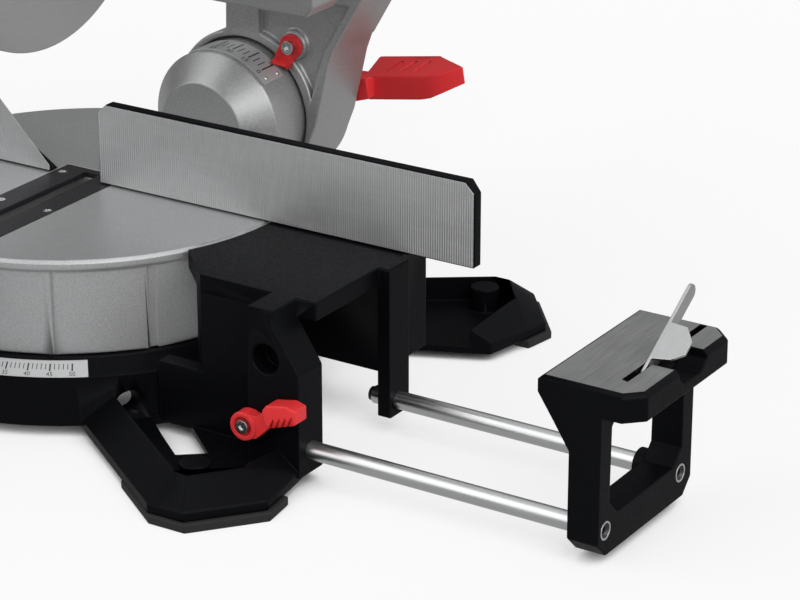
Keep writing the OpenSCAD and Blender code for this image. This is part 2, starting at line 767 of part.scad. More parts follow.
// Detent lever under the front arm
module detent_lever() {
    y = detent_y;
    z = detent_z;
    color(red) difference() {
        along_x(-8, 8) polygon([[y + 6, z - 5], [y + 6, z + 4], [y - 20, z + 3], [y - 62, z - 6],
                                [y - 72, z - 12], [y - 72, z - 16], [y - 58, z - 13], [y - 20, z - 6]]);
        bar_x(pin_d + 2 * fit, -20, 20, y, z);
    }
}

module detent_pin() {
    color(steel) bar_x(pin_d, -29, 29, detent_y, detent_z);
}

// Drum and pedestal of the bevel pivot
module bevel_drum() {
    color(cast_grey) difference() {
        union() {
            translate([0, drum_back, bevel_z]) rotate([90, 0, 0]) rotate_extrude($fn = 128) polygon([
                [0, 0], [drum_r, 0], [drum_r, drum_back - drum_rim_y],
                [drum_r - 1.5, drum_back - drum_rim_y + 1.5],
                [drum_cap_r + 1, drum_back - drum_y - 1], [drum_cap_r - 1, drum_back - drum_y],
                [0, drum_back - drum_y]]);
            translate([-deck_w, drum_y + 2, deck_top])
                cube([2 * deck_w, deck_back - drum_y - 2, bevel_z - deck_top]);
        }
        bar_y(axle_d + 2 * fit, drum_y + 8, drum_back + 1, 0, bevel_z);
        for (s = [-1, 1], y = deck_screw_y)
            translate([s * deck_screw_x, y, deck_top - 1]) cylinder(d = 6.1, h = 16);
    }
}

// Curved scale plate on the drum's band
module bevel_scale() {
    scale_w = 25;
    color([0.8, 0.8, 0.8]) translate([0, drum_rim_y + 2 + scale_w, bevel_z]) rotate([90, 0, 0])
        linear_extrude(scale_w) sector(drum_r + 0.02, drum_r + scale_t, 40, 118);
}

module bevel_axle() {
    color(steel) bar_y(axle_d, drum_y + 9, arm_back + 26, 0, bevel_z);
}

// Outer tangent outline of two circles, as one line round both
module capsule(p, q, r, s) {
    steps = 20;
    base_a = atan2(q[1] - p[1], q[0] - p[0]);
    t = acos((r - s) / norm(q - p));
    polygon(concat(
        [for (i = [0:steps], a = base_a + t + (360 - 2 * t) * i / steps) p + r * [cos(a), sin(a)]],
        [for (i = [0:steps], a = base_a - t + 2 * t * i / steps) q + s * [cos(a), sin(a)]]));
}

// Front outline of the tilting arm in (x, z) about the bevel axis, its right edge drawn in by an inset
module arm_outline(inset) {
    top = tube_z + bevel_drop + tube_d / 2 + bush_t + 13;
    left = tube_x0 - tube_d / 2 - bush_t - 12;
    polygon([[collar_r - 2.5 - inset, -17], [collar_r + 3.5 - inset, -2], [collar_r + 15 - inset, 46],
             [collar_r + 19.5 - inset, 58], [arm_x1 - 6 - inset, top - 45], [arm_x1 - inset, top - 35],
             [arm_x1 - inset, top - 10], [arm_x1 - 10 - inset, top], [left + 10, top], [left, top - 10],
             [left - 2, 50], [-40, 0]]);
}

// Tilting arm: a collar round the drum, a panelled web with a ridge on its right, and the tubes' housing
module bevel_arm() {
    color(cast_grey) difference() {
        translate([0, 0, bevel_z]) along_y(collar_y, arm_back) {
            arm_outline(0);
            circle(collar_r, $fn = 128);
        }
        translate([0, 0, bevel_z]) along_y(collar_y - 1, collar_y + panel_depth) difference() {
            intersection() {
                arm_outline(ridge_w);
                translate([tube_x0, -30])
                    square([arm_x1, 30 + tube_z + bevel_drop - tube_d / 2 - bush_t - 12]);
            }
            circle(collar_wide, $fn = 128);
            translate([pointer_x, pointer_z]) circle(pointer_r + 2);
        }
        bar_y(2 * collar_bore, collar_y - 1, arm_seat, 0, bevel_z);
        bar_y(axle_d + 2 * fit, collar_y, arm_back + 1, 0, bevel_z);
        for (x = [tube_x0, tube_x1]) bar_y(tube_d + 2 * bush_t, collar_y - 1, arm_back + 1, x, tube_zz);
        bar_y(pointer_screw_d + 2 * fit, collar_y - 1, collar_y + 12, pointer_x, bevel_z + pointer_z);
        bar_x(knob_screw_d + 2 * fit, tube_x1 + tube_d / 2 + bush_t + 3, arm_x1 + 1, knob_y, tube_zz);
    }
}

// Red pointer on the arm's front, with a tab bent forward over the scale
module bevel_pointer() {
    lean = atan2(pointer_z, pointer_x);
    tab_r = collar_bore + 0.3;
    color(red) difference() {
        union() {
            translate([0, 0, bevel_z]) along_y(collar_y - pointer_t, collar_y) rotate(lean) {
                translate([norm([pointer_x, pointer_z]), 0]) circle(pointer_r);
                polygon([[tab_r, -9], [tab_r, 5], [tab_r + 18, 8], [tab_r + 18, -8]]);
            }
            translate([0, 0, bevel_z]) rotate([0, -lean, 0]) translate([tab_r, 0, 0]) rotate([0, 90, 0])
                linear_extrude(2.4)
                    polygon([[9, collar_y], [-5, collar_y], [-2, collar_y - 11], [0, collar_y - 11]]);
        }
        bar_y(pointer_screw_d + 2 * fit, collar_y - 9, collar_y + 1, pointer_x, bevel_z + pointer_z);
    }
}

module bevel_pointer_screw() {
    head_d = 10;
    front = collar_y - pointer_t;
    color(steel) difference() {
        union() {
            bar_y(pointer_screw_d, front - 1, collar_y + 10, pointer_x, bevel_z + pointer_z);
            bar_y(head_d, front - 4, front, pointer_x, bevel_z + pointer_z);
        }
        translate([pointer_x, front - 2, bevel_z + pointer_z]) rotate([90, 0, 0])
            cylinder(d = pointer_screw_d, h = 4, $fn = 6);
    }
}

// Clamp lever behind the arm, on the end of the bevel axle: a hub, a neck and a paddle that leans forward
module bevel_lever() {
    y0 = arm_back + gap;
    front = y0 + 10;
    back = front + lever_depth;
    color(red) translate([0, 0, bevel_z]) difference() {
        union() {
            bar_y(38, y0, y0 + 22, 0, 0);
            rotate([0, -lever_rise, 0]) {
                along_y(y0 + 2, y0 + 20) polygon([[0, -17], [74, -7], [74, 8], [0, 17]]);
                intersection() {
                    along_x(paddle_in - 3, big)
                        polygon([[front, -9.5], [front, paddle_low], [back, paddle_top], [back, -1]]);
                    translate([0, 0, -50]) linear_extrude(big) polygon([
                        [paddle_in, front], [119, front], [132, front + 3], [147, front + 12], [122, back],
                        [paddle_in, back]]);
                    along_y(0, big) polygon([[0, -10], [118, -10], [147, 0], [147, 40], [0, 40]]);
                }
            }
        }
        bar_y(axle_d + 2 * fit, y0 - 1, y0 + 40, 0, 0);
        rotate([0, -lever_rise, 0]) for (i = [0:2])
            translate([paddle_in + 20 + 12 * i, front + lever_depth / 2, (paddle_top + paddle_low) / 2])
                rotate([atan2(paddle_top - paddle_low, lever_depth), 0, 0]) rotate(-30)
                    translate([-1.5, -7.5, -groove_d]) cube([3, 15, 4]);
    }
}

module slide_bushes() {
    color([0.75, 0.6, 0.3]) for (x = [tube_x0, tube_x1]) difference() {
        bar_y(tube_d + 2 * bush_t - 2 * fit, collar_y, arm_back, x, tube_zz);
        bar_y(tube_d + 2 * fit, collar_y - 1, arm_back + 1, x, tube_zz);
    }
}

// Knob that clamps the slide, in the arm's right side
module slide_lock_knob() {
    x0 = arm_x1 + gap;
    y = knob_y;
    color(black) difference() {
        union() {
            bar_x(knob_screw_d, tube_x1 + tube_d / 2 + bush_t + 4, x0 + 4, y, tube_zz);
            translate([x0, y, tube_zz]) rotate([0, 90, 0]) rotate_extrude() polygon([
                [0, 0], [10, 0], [10, 5], [18, 8], [18, 20], [15, 24], [0, 24]]);
        }
        for (a = [0:60:300]) translate([x0 + 6, y, tube_zz]) rotate([a, 0, 0]) translate([0, 21, 0])
            rotate([0, 90, 0]) cylinder(r = 6, h = 30);
    }
}

module slide_tubes() {
    color(steel) difference() {
        for (x = [tube_x0, tube_x1]) bar_y(tube_d, carriage_y0 + 2, tube_end, x, tube_zz);
        for (x = [tube_x0, tube_x1]) bar_y(tube_d - 5, carriage_y0, tube_end + 1, x, tube_zz);
    }
}

// Carriage on the tubes' front ends, with two ears for the head's pivot
module head_bracket() {
    top = tube_zz + 16;
    color(cast_grey) difference() {
        union() {
            along_y(carriage_y0, carriage_y1) polygon([
                [tube_x0 - 14, tube_zz - 18], [tube_x1 + 14, tube_zz - 18], [tube_x1 + 20, tube_zz - 10],
                [tube_x1 + 20, top - 8], [tube_x1 + 12, top], [tube_x0 - 12, top], [tube_x0 - 20, top - 8],
                [tube_x0 - 20, tube_zz - 10]]);
            for (x = [ear_x0, ear_x1 - ear_t]) along_x(x, x + ear_t) {
                translate([head_pivot_y, head_pivot_z]) circle(head_hub_r);
                polygon([[head_pivot_y - head_hub_r, head_pivot_z], [carriage_y0 + 2, top - 6],
                         [carriage_y1, top - 6], [carriage_y1, top + 4],
                         [head_pivot_y + 8, head_pivot_z + 18]]);
            }
        }
        for (x = [tube_x0, tube_x1]) bar_y(tube_d + 2 * fit, carriage_y0 + 2, carriage_y1 + 1, x, tube_zz);
        bar_x(head_pin_d + 2 * fit, ear_x0 - 1, ear_x1 + 1, head_pivot_y, head_pivot_z);
    }
}

module head_pivot_pin() {
    color(steel) {
        bar_x(head_pin_d, ear_x0 - 4, ear_x1 + 4, head_pivot_y, head_pivot_z);
        bar_x(head_pin_d + 6, ear_x0 - 6, ear_x0, head_pivot_y, head_pivot_z);
        bar_x(head_pin_d + 6, ear_x1, ear_x1 + 6, head_pivot_y, head_pivot_z);
    }
}

module tube_end_cap() {
    color(black) along_y(tube_end, tube_end + cap_t)
        translate([tube_cx, tube_zz]) stadium(tube_dx + tube_d + 2 * cap_wall, tube_d + 2 * cap_wall);
}

// Turns the head from the lowered pose, drawn about the arbor, to its raised rest pose
module head_pose() {
    translate([0, head_pivot_y, head_pivot_z]) rotate([-chop, 0, 0])
        translate([0, low_y - head_pivot_y, low_z - head_pivot_z]) children();
}

// Half disc shell over the blade, open below
module upper_guard() {
    edge_z = 8;
    color(black) head_pose() difference() {
        along_x(-cover_half - cover_t, cover_half + cover_t) difference() {
            circle(cover_out, $fn = 160);
            translate([-big / 2, edge_z - big]) square(big);
        }
        bar_x(2 * cover_r, -cover_half, cover_half, 0, 0);
        bar_x(2 * nose_r + 1, cover_half - 1, cover_half + cover_t + 1, 0, 0);
        bar_x(74, -cover_half - cover_t - 1, -cover_half + 1, 0, 0);
    }
}

// Gear casing, head arm to the pivot and arm to the handle
module gear_housing() {
    color(cast_grey) head_pose() difference() {
        union() {
            along_x(gear_x0, gear_x1) capsule([0, 0], [motor_y, motor_z], gear_r, motor_d / 2 + 4);
            along_x(gear_x0, gear_x0 + 13) capsule([0, 0], [-94, 78], gear_r, 18);
            along_x(gear_x0 + 20, gear_x1) capsule([motor_y, motor_z], [pivot_dy, pivot_dz], 30, head_hub_r);
            bar_x(2 * head_hub_r, ear_x0 + ear_t + gap, ear_x1 - ear_t - gap, pivot_dy, pivot_dz);
            bar_x(2 * nose_r, guard_half - guard_t - gap, gear_x0 + 1, 0, 0);
        }
        bar_x(spindle_d + 2 * fit, 0, gear_x1 - 8, 0, 0);
        bar_x(head_pin_d + 2 * fit, ear_x0, ear_x1, pivot_dy, pivot_dz);
        bar_x(button_d + 2 * gap, gear_x1 - 14, gear_x1 + 1, -22, -12);
    }
}

module motor_housing() {
    color(black) head_pose() translate([gear_x1, motor_y, motor_z]) rotate([0, 90, 0]) difference() {
        rotate_extrude($fn = 96) polygon([[0, 0], [motor_d / 2 + 3, 0], [motor_d / 2 + 3, 10],
            [motor_d / 2, 14], [motor_d / 2 - 1, motor_len], [0, motor_len]]);
        for (a = [0:15:345]) rotate(a) translate([motor_d / 2 - 3, -1.5, motor_len - 34]) cube([10, 3, 24]);
    }
}

module motor_end_cap() {
    place = [gear_x1 + motor_len, motor_y, motor_z];
    color(black) head_pose() translate(place) rotate([0, 90, 0]) difference() {
        rotate_extrude($fn = 96) polygon([[0, 0], [motor_d / 2 - 1, 0], [motor_d / 2 - 2, 8],
            [motor_d / 2 - 8, 15], [0, 17]]);
        for (i = [-3:3]) translate([-22, 6 * i - 1.5, 13]) cube([44, 3, 10]);
    }
}

// Moves into the handle's own axes: long axis first, outwards second
module handle_pose() {
    head_pose() rotate([handle_a, 0, 0]) translate([0, handle_r, 0]) rotate([-90, 0, 0]) children();
}

module main_handle() {
    color(black) difference() {
        handle_pose() along_x(-handle_half, handle_half) difference() {
            stadium(handle_len, handle_w);
            stadium(handle_len - 2 * grip_w, handle_w - 2 * grip_w);
        }
        handle_pose() translate([-trigger_w / 2 - gap, -trigger_half - gap, 10])
            cube([trigger_w + 2 * gap, 2 * trigger_half + 2 * gap, 19]);
        handle_pose() bar_x(button_d + 2 * gap, -handle_half - 1, -handle_half + 8, 34, 16);
    }
}

module trigger() {
    color(red) handle_pose() along_x(-trigger_w / 2, trigger_w / 2)
        polygon([[-trigger_half, 23], [-trigger_half, 10], [-8, 7], [10, 8], [trigger_half, 13],
                 [trigger_half, 23]]);
}

module lock_off_button() {
    color(red) handle_pose() bar_x(button_d, -handle_half - 4, -handle_half + 3, 34, 16);
}

module spindle_lock_button() {
    color(red) head_pose() bar_x(button_d, gear_x1 - 9, gear_x1 + 6, -22, -12);
}

module dust_spout() {
    color(black) head_pose() difference() {
        union() {
            bar_y(spout_d, 20, spout_end, 0, spout_z);
            bar_y(spout_d + 6, spout_end - 8, spout_end, 0, spout_z);
        }
        bar_y(spout_d - 6, 10, spout_end + 1, 0, spout_z);
        bar_x(2 * cover_out + 0.1, -60, 60, 0, 0);
    }
}

// Saw blade with raked teeth and gullets
module blade() {
    step = 360 / blade_teeth;
    gullet = blade_r - 7;
    pts = [for (i = [0:blade_teeth - 1]) each [
        blade_r * [cos(i * step), sin(i * step)],
        (blade_r - 2) * [cos((i + 0.45) * step), sin((i + 0.45) * step)],
        gullet * [cos((i + 0.72) * step), sin((i + 0.72) * step)],
        (gullet + 1) * [cos((i + 0.9) * step), sin((i + 0.9) * step)]]];
    color(steel) head_pose() along_x(-blade_t / 2, blade_t / 2) difference() {
        polygon(pts);
        circle(d = arbor_d);
        for (a = [0:90:270]) rotate(a + 20) translate([blade_r * 0.62, 0]) circle(d = 8);
    }
}

// Spindle with the inner flange and the blade seat
module spindle() {
    color(steel) head_pose() difference() {
        union() {
            bar_x(spindle_d, 0, gear_x1 - 9, 0, 0);
            bar_x(2 * flange_r, blade_t / 2, guard_half - guard_t - 2 * gap, 0, 0);
            bar_x(arbor_d - 2 * fit, -blade_t / 2, blade_t / 2 + 1, 0, 0);
        }
        bar_x(arbor_bolt_d + 2 * fit, -2, 26, 0, 0);
    }
}

module outer_flange() {
    color(steel) head_pose() difference() {
        translate([-blade_t / 2, 0, 0]) rotate([0, -90, 0]) rotate_extrude() polygon([
            [0, 0], [flange_r, 0], [flange_r, 3], [flange_r - 4, 6], [0, 6]]);
        bar_x(arbor_bolt_d + 2 * fit, -20, 5, 0, 0);
    }
}

module arbor_bolt() {
    x1 = -blade_t / 2 - 6;
    color(steel) head_pose() difference() {
        union() {
            bar_x(arbor_bolt_d, x1 - 1, 24, 0, 0);
            bar_x(14, x1 - 6, x1, 0, 0);
        }
        translate([x1 - 7, 0, 0]) rotate([0, 90, 0]) cylinder(d = 7, h = 5, $fn = 6);
    }
}

// Swinging guard: two cheeks and a rim, carried on the gear casing's nose
module lower_guard() {
    a0 = 360 + guard_lap - guard_open;
    a1 = a0 + guard_sweep;
    color([0.2, 0.2, 0.21]) head_pose() difference() {
        union() {
            along_x(-guard_half, guard_half) sector(guard_r - guard_t, guard_r, a0, a1);
            along_x(-guard_half, -guard_half + guard_t) sector(40, guard_r - 0.5, a0, a1);
            along_x(guard_half - guard_t, guard_half) sector(nose_r, guard_r - 0.5, a0, a1);
            bar_x(2 * nose_r + 14, guard_half - guard_t, guard_half, 0, 0);
        }
        bar_x(2 * nose_r + 2 * fit, 0, cover_half, 0, 0);
    }
}

base_casting();
foot_soles();
mitre_scale();
turntable_pivot_bolt();
fence_right();
fence_left();
fence_screws();
rails_right();
rails_left();
rail_collars_right();
rail_collars_left();
end_bracket_right();
end_bracket_left();
rail_end_screws_right();
rail_end_screws_left();
stop_pin_right();
stop_pin_left();
flip_stop_right();
flip_stop_left();
clamp_lever_right();
clamp_lever_left();
clamp_screw_right();
clamp_screw_left();
turntable();
kerf_insert();
mitre_pointer();
mitre_handle();
mitre_handle_screw();
detent_lever();
detent_pin();
bevel_drum();
bevel_scale();
bevel_axle();
bevel_arm();
bevel_pointer();
bevel_pointer_screw();
bevel_lever();
slide_bushes();
slide_lock_knob();
slide_tubes();
head_bracket();
tube_end_cap();
head_pivot_pin();
upper_guard();
gear_housing();
motor_housing();
motor_end_cap();
main_handle();
trigger();
lock_off_button();
spindle_lock_button();
dust_spout();
blade();
spindle();
outer_flange();
arbor_bolt();
lower_guard();
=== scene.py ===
import json
import math

import bmesh
import bpy
from bpy.props import FloatProperty, FloatVectorProperty, PointerProperty
from mathutils import Matrix, Vector


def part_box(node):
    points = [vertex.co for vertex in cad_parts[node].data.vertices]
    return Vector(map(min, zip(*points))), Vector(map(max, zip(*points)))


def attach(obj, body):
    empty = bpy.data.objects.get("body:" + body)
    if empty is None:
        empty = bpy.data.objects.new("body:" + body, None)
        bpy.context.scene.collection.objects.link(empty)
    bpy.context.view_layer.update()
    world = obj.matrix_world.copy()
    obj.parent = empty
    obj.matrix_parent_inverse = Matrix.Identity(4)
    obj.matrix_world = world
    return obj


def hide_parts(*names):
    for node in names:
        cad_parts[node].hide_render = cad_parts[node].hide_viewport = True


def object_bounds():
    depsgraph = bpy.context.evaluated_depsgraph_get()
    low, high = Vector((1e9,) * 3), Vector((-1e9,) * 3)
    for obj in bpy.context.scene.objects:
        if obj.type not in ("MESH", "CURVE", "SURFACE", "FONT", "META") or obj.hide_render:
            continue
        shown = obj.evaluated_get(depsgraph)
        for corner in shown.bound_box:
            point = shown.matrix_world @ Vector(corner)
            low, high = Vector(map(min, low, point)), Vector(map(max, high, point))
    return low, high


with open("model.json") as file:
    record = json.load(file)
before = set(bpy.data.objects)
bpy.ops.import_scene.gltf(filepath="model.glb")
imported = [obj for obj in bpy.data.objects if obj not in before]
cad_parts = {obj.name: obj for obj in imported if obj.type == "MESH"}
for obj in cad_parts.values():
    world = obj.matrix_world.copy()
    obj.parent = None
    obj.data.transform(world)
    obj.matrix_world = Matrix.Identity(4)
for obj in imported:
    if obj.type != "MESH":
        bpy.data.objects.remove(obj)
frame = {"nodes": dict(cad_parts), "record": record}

bl_info = {
    "name": "Sliding mitre saw dressing",
    "version": (1, 0, 0),
    "blender": (4, 5, 0),
    "location": "View3D > Sidebar > Mitre saw",
    "description": "Finishes, scales, facings and stage for the packed sliding mitre saw",
    "category": "Object",
}

NODES = frame["nodes"]
CAD_BOX = [list(corner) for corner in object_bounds()]
TABLE_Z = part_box("turntable")[1].z
MM = 0.001


# Settings that a user would change

def colour(name, description, value):
    """A colour setting."""
    return FloatVectorProperty(name=name, description=description, subtype="COLOR", size=3,
                               min=0.0, max=1.0, default=value)


def length(name, description, value):
    """A length setting, in metres."""
    return FloatProperty(name=name, description=description, default=value, unit="LENGTH", precision=5)


def factor(name, description, value):
    """A setting from 0 to 1."""
    return FloatProperty(name=name, description=description, default=value, min=0.0, max=1.0,
                         subtype="FACTOR")


class SawFinishes(bpy.types.PropertyGroup):
    """Colours and edge softness of the saw's finishes."""
    powder: colour("Powder coat", "Black coat of the base and the supports", (0.0026, 0.0028, 0.0038))
    table: colour("Table casting", "Pale casting of the turntable", (0.40, 0.405, 0.41))
    casting: colour("Arm casting", "Grey casting of the tilting arm and the head", (0.36, 0.362, 0.365))
    lever_red: colour("Lever red", "Red plastic of the levers and the pointers", (0.70, 0.032, 0.036))
    plastic: colour("Black plastic", "Moulded black plastic", (0.016, 0.016, 0.018))
    steel: colour("Steel", "Ground and plated steel", (0.60, 0.605, 0.61))
    edge: length("Edge softness", "Radius that the castings' edges catch light on", 0.0012)
    # Edge wear also sets the powder coat's pale edges, which are partly a painted highlight
    wear: factor("Edge wear", "How far the coat thins along the edges", 0.35)


class SawScales(bpy.types.PropertyGroup):
    """Marks of the mitre and bevel scales."""
    fine: length("Fine mark", "Width of the mitre scale's one-degree marks", 0.0005)
    bold: length("Bold mark", "Width of the mitre scale's five-degree marks", 0.0010)
    figure: length("Figure height", "Height of the mitre scale's figures", 0.0030)
    relief: length("Ink relief", "How far the marks stand off the plate", 0.0001)
    mitre_zero: FloatProperty(name="Mitre zero", default=-14.5,
                              description="Degrees from the front to the mitre scale's zero")
    bevel_zero: FloatProperty(name="Bevel zero", default=51.5,
                              description="Degrees from level to the bevel scale's zero")
    rivet_at: FloatProperty(name="Rivets", default=44.0,
                            description="Degrees from level to the bevel plate's rivets")


class SawFence(bpy.types.PropertyGroup):
    """Ribbed facing of the fence."""
    pitch: length("Rib pitch", "Distance between the facing's ribs", 0.00175)
    depth: length("Rib depth", "How far a rib stands off the facing's sheet", 0.0004)
    sheet: length("Sheet", "Thickness of the facing's sheet", 0.0004)
    lip: length("Black lip", "Height of the bare black edge above the facing", 0.0009)


class SawHardware(bpy.types.PropertyGroup):
    """Blade tips and small screws."""
    tip_w: length("Tip width", "Width of a blade tip across the plate", 0.0026)
    tip_h: length("Tip height", "Height of a blade tip along the tooth", 0.0055)
    screw_r: length("Screw head", "Radius of the table insert's screw heads", 0.0034)


class SawStage(bpy.types.PropertyGroup):
    """Camera and light of the studio."""
    lens: FloatProperty(name="Lens", description="Focal length of the camera in mm", default=136.5)
    eye: FloatVectorProperty(name="Eye", description="Place of the camera", size=3, subtype="TRANSLATION",
                             unit="LENGTH", default=(1.2353, -1.5249, 0.8172))
    back: FloatVectorProperty(name="Back", description="Direction from the picture to the camera", size=3,
                              subtype="DIRECTION", default=(0.4996, -0.7806, 0.3756))
    key: FloatProperty(name="Key light", description="Strength of the soft key light", default=1.85)
    fill: FloatProperty(name="Fill light", description="Strength of the soft fill light", default=1.0)
    ambient: factor("Ambient", "Level of the white surroundings", 0.42)
    dim_side: factor("Dim side", "Level of the darkest reflected surroundings", 0.08)
    floor: colour("Floor", "Colour of the plain floor", (0.90, 0.90, 0.90))
    white: factor("White floor", "How far the camera sees the floor as plain white", 0.75)
    mirrored: factor("Mirrored floor", "Level of the floor in reflections", 0.5)


# Finishes

# Inputs and output of a Mix node that carry colour
MIX_FIRST, MIX_SECOND, MIX_RESULT = 6, 7, 2

# Values between which most of a noise lies
NOISE_LOW, NOISE_HIGH = 0.3, 0.7

# Agreement of the rounded normal with the true one, on a flat face and on an edge
ON_FACE, ON_EDGE = 0.995, 0.86


def feed(tree, socket, value):
    """Joins a socket to another one, or sets its value."""
    if isinstance(value, bpy.types.NodeSocket):
        tree.links.new(value, socket)
    else:
        socket.default_value = value


def add_node(tree, kind, inputs=(), **settings):
    """Adds a node, with its settings by name and its inputs as (socket, value) pairs."""
    node = tree.nodes.new(kind)
    for key, value in settings.items():
        setattr(node, key, value)
    for socket, value in inputs:
        feed(tree, node.inputs[socket], value)
    return node


class Finish:
    """One material on a Principled shader, with short calls that add and join its nodes."""

    def __init__(self, name, base, roughness, metallic=0.0):
        material = bpy.data.materials.new(name)
        material.use_nodes = True
        self.tree = material.node_tree
        self.shader = self.tree.nodes["Principled BSDF"]
        self.set("Base Color", (*base, 1.0))
        self.set("Roughness", roughness)
        self.set("Metallic", metallic)
        self.place = self.add("ShaderNodeTexCoord").outputs["Object"]
        self.normal = None

    def set(self, socket, value):
        """Sets or joins one socket of the shader."""
        feed(self.tree, self.shader.inputs[socket], value)

    def add(self, kind, inputs=(), **settings):
        """Adds a node to the finish."""
        return add_node(self.tree, kind, inputs, **settings)

    def noise(self, scale, detail=2.0, stretch=(1.0, 1.0, 1.0)):
        """Noise in grains per metre, drawn out where a stretch is below 1."""
        place = self.add("ShaderNodeMapping", [("Vector", self.place), ("Scale", stretch)])
        node = self.add("ShaderNodeTexNoise", [("Vector", place.outputs["Vector"]), ("Scale", scale),
                                               ("Detail", detail)])
        return node.outputs["Fac"]

    def grade(self, value, low, high, to_low, to_high):
        """Maps a value from one range to another, held at its ends."""
        node = self.add("ShaderNodeMapRange", [("Value", value), ("From Min", low), ("From Max", high),
                                               ("To Min", to_low), ("To Max", to_high)])
        return node.outputs["Result"]

    def spread(self, noise, to_low, to_high):
        """Maps the usual range of a noise to another range."""
        return self.grade(noise, NOISE_LOW, NOISE_HIGH, to_low, to_high)

    def maths(self, operation, first, second):
        """Joins two values by one sum."""
        return self.add("ShaderNodeMath", [(0, first), (1, second)], operation=operation).outputs["Value"]

    def blend(self, amount, first, second):
        """Mixes two colours or sockets by an amount."""
        node = self.add("ShaderNodeMix", [("Factor", amount)], data_type="RGBA")
        for socket, value in ((MIX_FIRST, first), (MIX_SECOND, second)):
            tone = value if isinstance(value, bpy.types.NodeSocket) else (*value, 1.0)
            feed(self.tree, node.inputs[socket], tone)
        return node.outputs[MIX_RESULT]

    def soften(self, radius):
        """Rounds the edges for the light, and returns how near an edge a point is."""
        self.normal = self.add("ShaderNodeBevel", [("Radius", radius)], samples=6).outputs["Normal"]
        true = self.add("ShaderNodeNewGeometry").outputs["Normal"]
        dot = self.add("ShaderNodeVectorMath", [(0, self.normal), (1, true)], operation="DOT_PRODUCT")
        return self.grade(dot.outputs["Value"], ON_FACE, ON_EDGE, 0.0, 1.0)

    def bump(self, height, strength, distance):
        """Lays a bump over what the normal already has."""
        node = self.add("ShaderNodeBump", [("Height", height), ("Strength", strength),
                                           ("Distance", distance)])
        if self.normal is not None:
            feed(self.tree, node.inputs["Normal"], self.normal)
        self.normal = node.outputs["Normal"]

    def close(self):
        """Joins the built-up normal to the shader."""
        if self.normal is not None:
            self.set("Normal", self.normal)


def shade(base, amount):
    """A colour made paler or darker by an amount."""
    return tuple(min(1.0, channel * amount) for channel in base)


def powder_coat(finishes):
    """Black powder coat: orange peel, dust-fine speckle, and pale edges: thinner coat and painted highlight.
    """
    coat = Finish("powder_coat", finishes.powder, 0.42)
    edge = coat.soften(finishes.edge)
    peel = coat.noise(420.0, 3.0)
    cloud = coat.noise(14.0, 3.0)
    tone = coat.blend(cloud, shade(finishes.powder, 0.82), shade(finishes.powder, 1.25))
    # Edges painted paler: partly a thinner coat, partly a painted highlight along the edges
    wear_and_sheen = coat.maths("MULTIPLY", edge, coat.grade(coat.noise(60.0, 4.0), 0.35, 0.7, 0.2, 1.0))
    wear_and_sheen = coat.maths("MULTIPLY", wear_and_sheen, finishes.wear)
    coat.set("Base Color", coat.blend(wear_and_sheen, tone, shade(finishes.powder, 6.0)))
    coat.set("Roughness", coat.spread(peel, 0.36, 0.48))
    coat.set("Specular IOR Level", 0.05)
    coat.bump(peel, 0.12, 0.0004)
    coat.close()


def sand_casting(name, base, finishes, roughness, metallic, grain):
    """Blasted aluminium: bright fine grain, slow tone changes and polished edges."""
    metal = Finish(name, base, roughness, metallic)
    edge = metal.soften(finishes.edge)
    fine = metal.noise(grain, 4.0)
    slow = metal.noise(9.0, 2.0)
    tone = metal.blend(metal.grade(fine, 0.32, 0.68, 0.0, 1.0), shade(base, 0.84), shade(base, 1.14))
    tone = metal.blend(metal.spread(slow, 0.0, 0.35), tone, shade(base, 0.88))
    rub = metal.maths("MULTIPLY", edge, finishes.wear)
    metal.set("Base Color", metal.blend(rub, tone, shade(base, 1.7)))
    metal.set("Roughness", metal.spread(fine, roughness - 0.07, roughness + 0.08))
    metal.bump(fine, 0.16, 0.0003)
    metal.close()


def ground_steel(name, base, roughness, stretch, lines, metallic):
    """Steel with fine lines drawn out along the axis where stretch is small."""
    steel = Finish(name, base, roughness, metallic)
    steel.soften(0.0004)
    grind = steel.noise(lines, 4.0, stretch)
    smear = steel.noise(22.0, 3.0)
    steel.set("Base Color", steel.blend(grind, shade(base, 0.86), shade(base, 1.08)))
    wear_and_sheen = steel.grade(smear, 0.4, 0.7, 0.0, 0.07)
    ground = steel.spread(grind, roughness - 0.05, roughness + 0.06)
    steel.set("Roughness", steel.maths("ADD", ground, wear_and_sheen))
    steel.bump(grind, 0.05, 0.0002)
    steel.close()


def moulded_plastic(name, base, roughness, grain, relief, wear):
    """Spark-textured plastic with a slightly paler, rubbed edge."""
    plastic = Finish(name, base, roughness)
    edge = plastic.soften(0.0009)
    texture = plastic.noise(grain, 2.0)
    cloud = plastic.noise(18.0, 3.0)
    tone = plastic.blend(cloud, shade(base, 0.90), shade(base, 1.10))
    rub = plastic.maths("MULTIPLY", edge, wear)
    pale = tuple(channel + 0.05 for channel in shade(base, 1.15))
    plastic.set("Base Color", plastic.blend(rub, tone, pale))
    plastic.set("Roughness", plastic.spread(texture, roughness - 0.06, roughness + 0.08))
    plastic.set("Specular IOR Level", 0.25)
    plastic.bump(texture, relief, 0.0003)
    plastic.close()


def soft_rubber():
    """Matt rubber with a dusty bloom."""
    rubber = Finish("soft_rubber", (0.006, 0.006, 0.0065), 0.82)
    rubber.soften(0.0008)
    bloom = rubber.noise(35.0, 4.0)
    dusty = rubber.grade(bloom, 0.4, 0.75, 0.0, 1.0)
    rubber.set("Base Color", rubber.blend(dusty, (0.005, 0.005, 0.0055), (0.011, 0.011, 0.0115)))
    rubber.set("Roughness", rubber.spread(bloom, 0.74, 0.9))
    rubber.bump(rubber.noise(700.0, 2.0), 0.2, 0.0003)
    rubber.close()


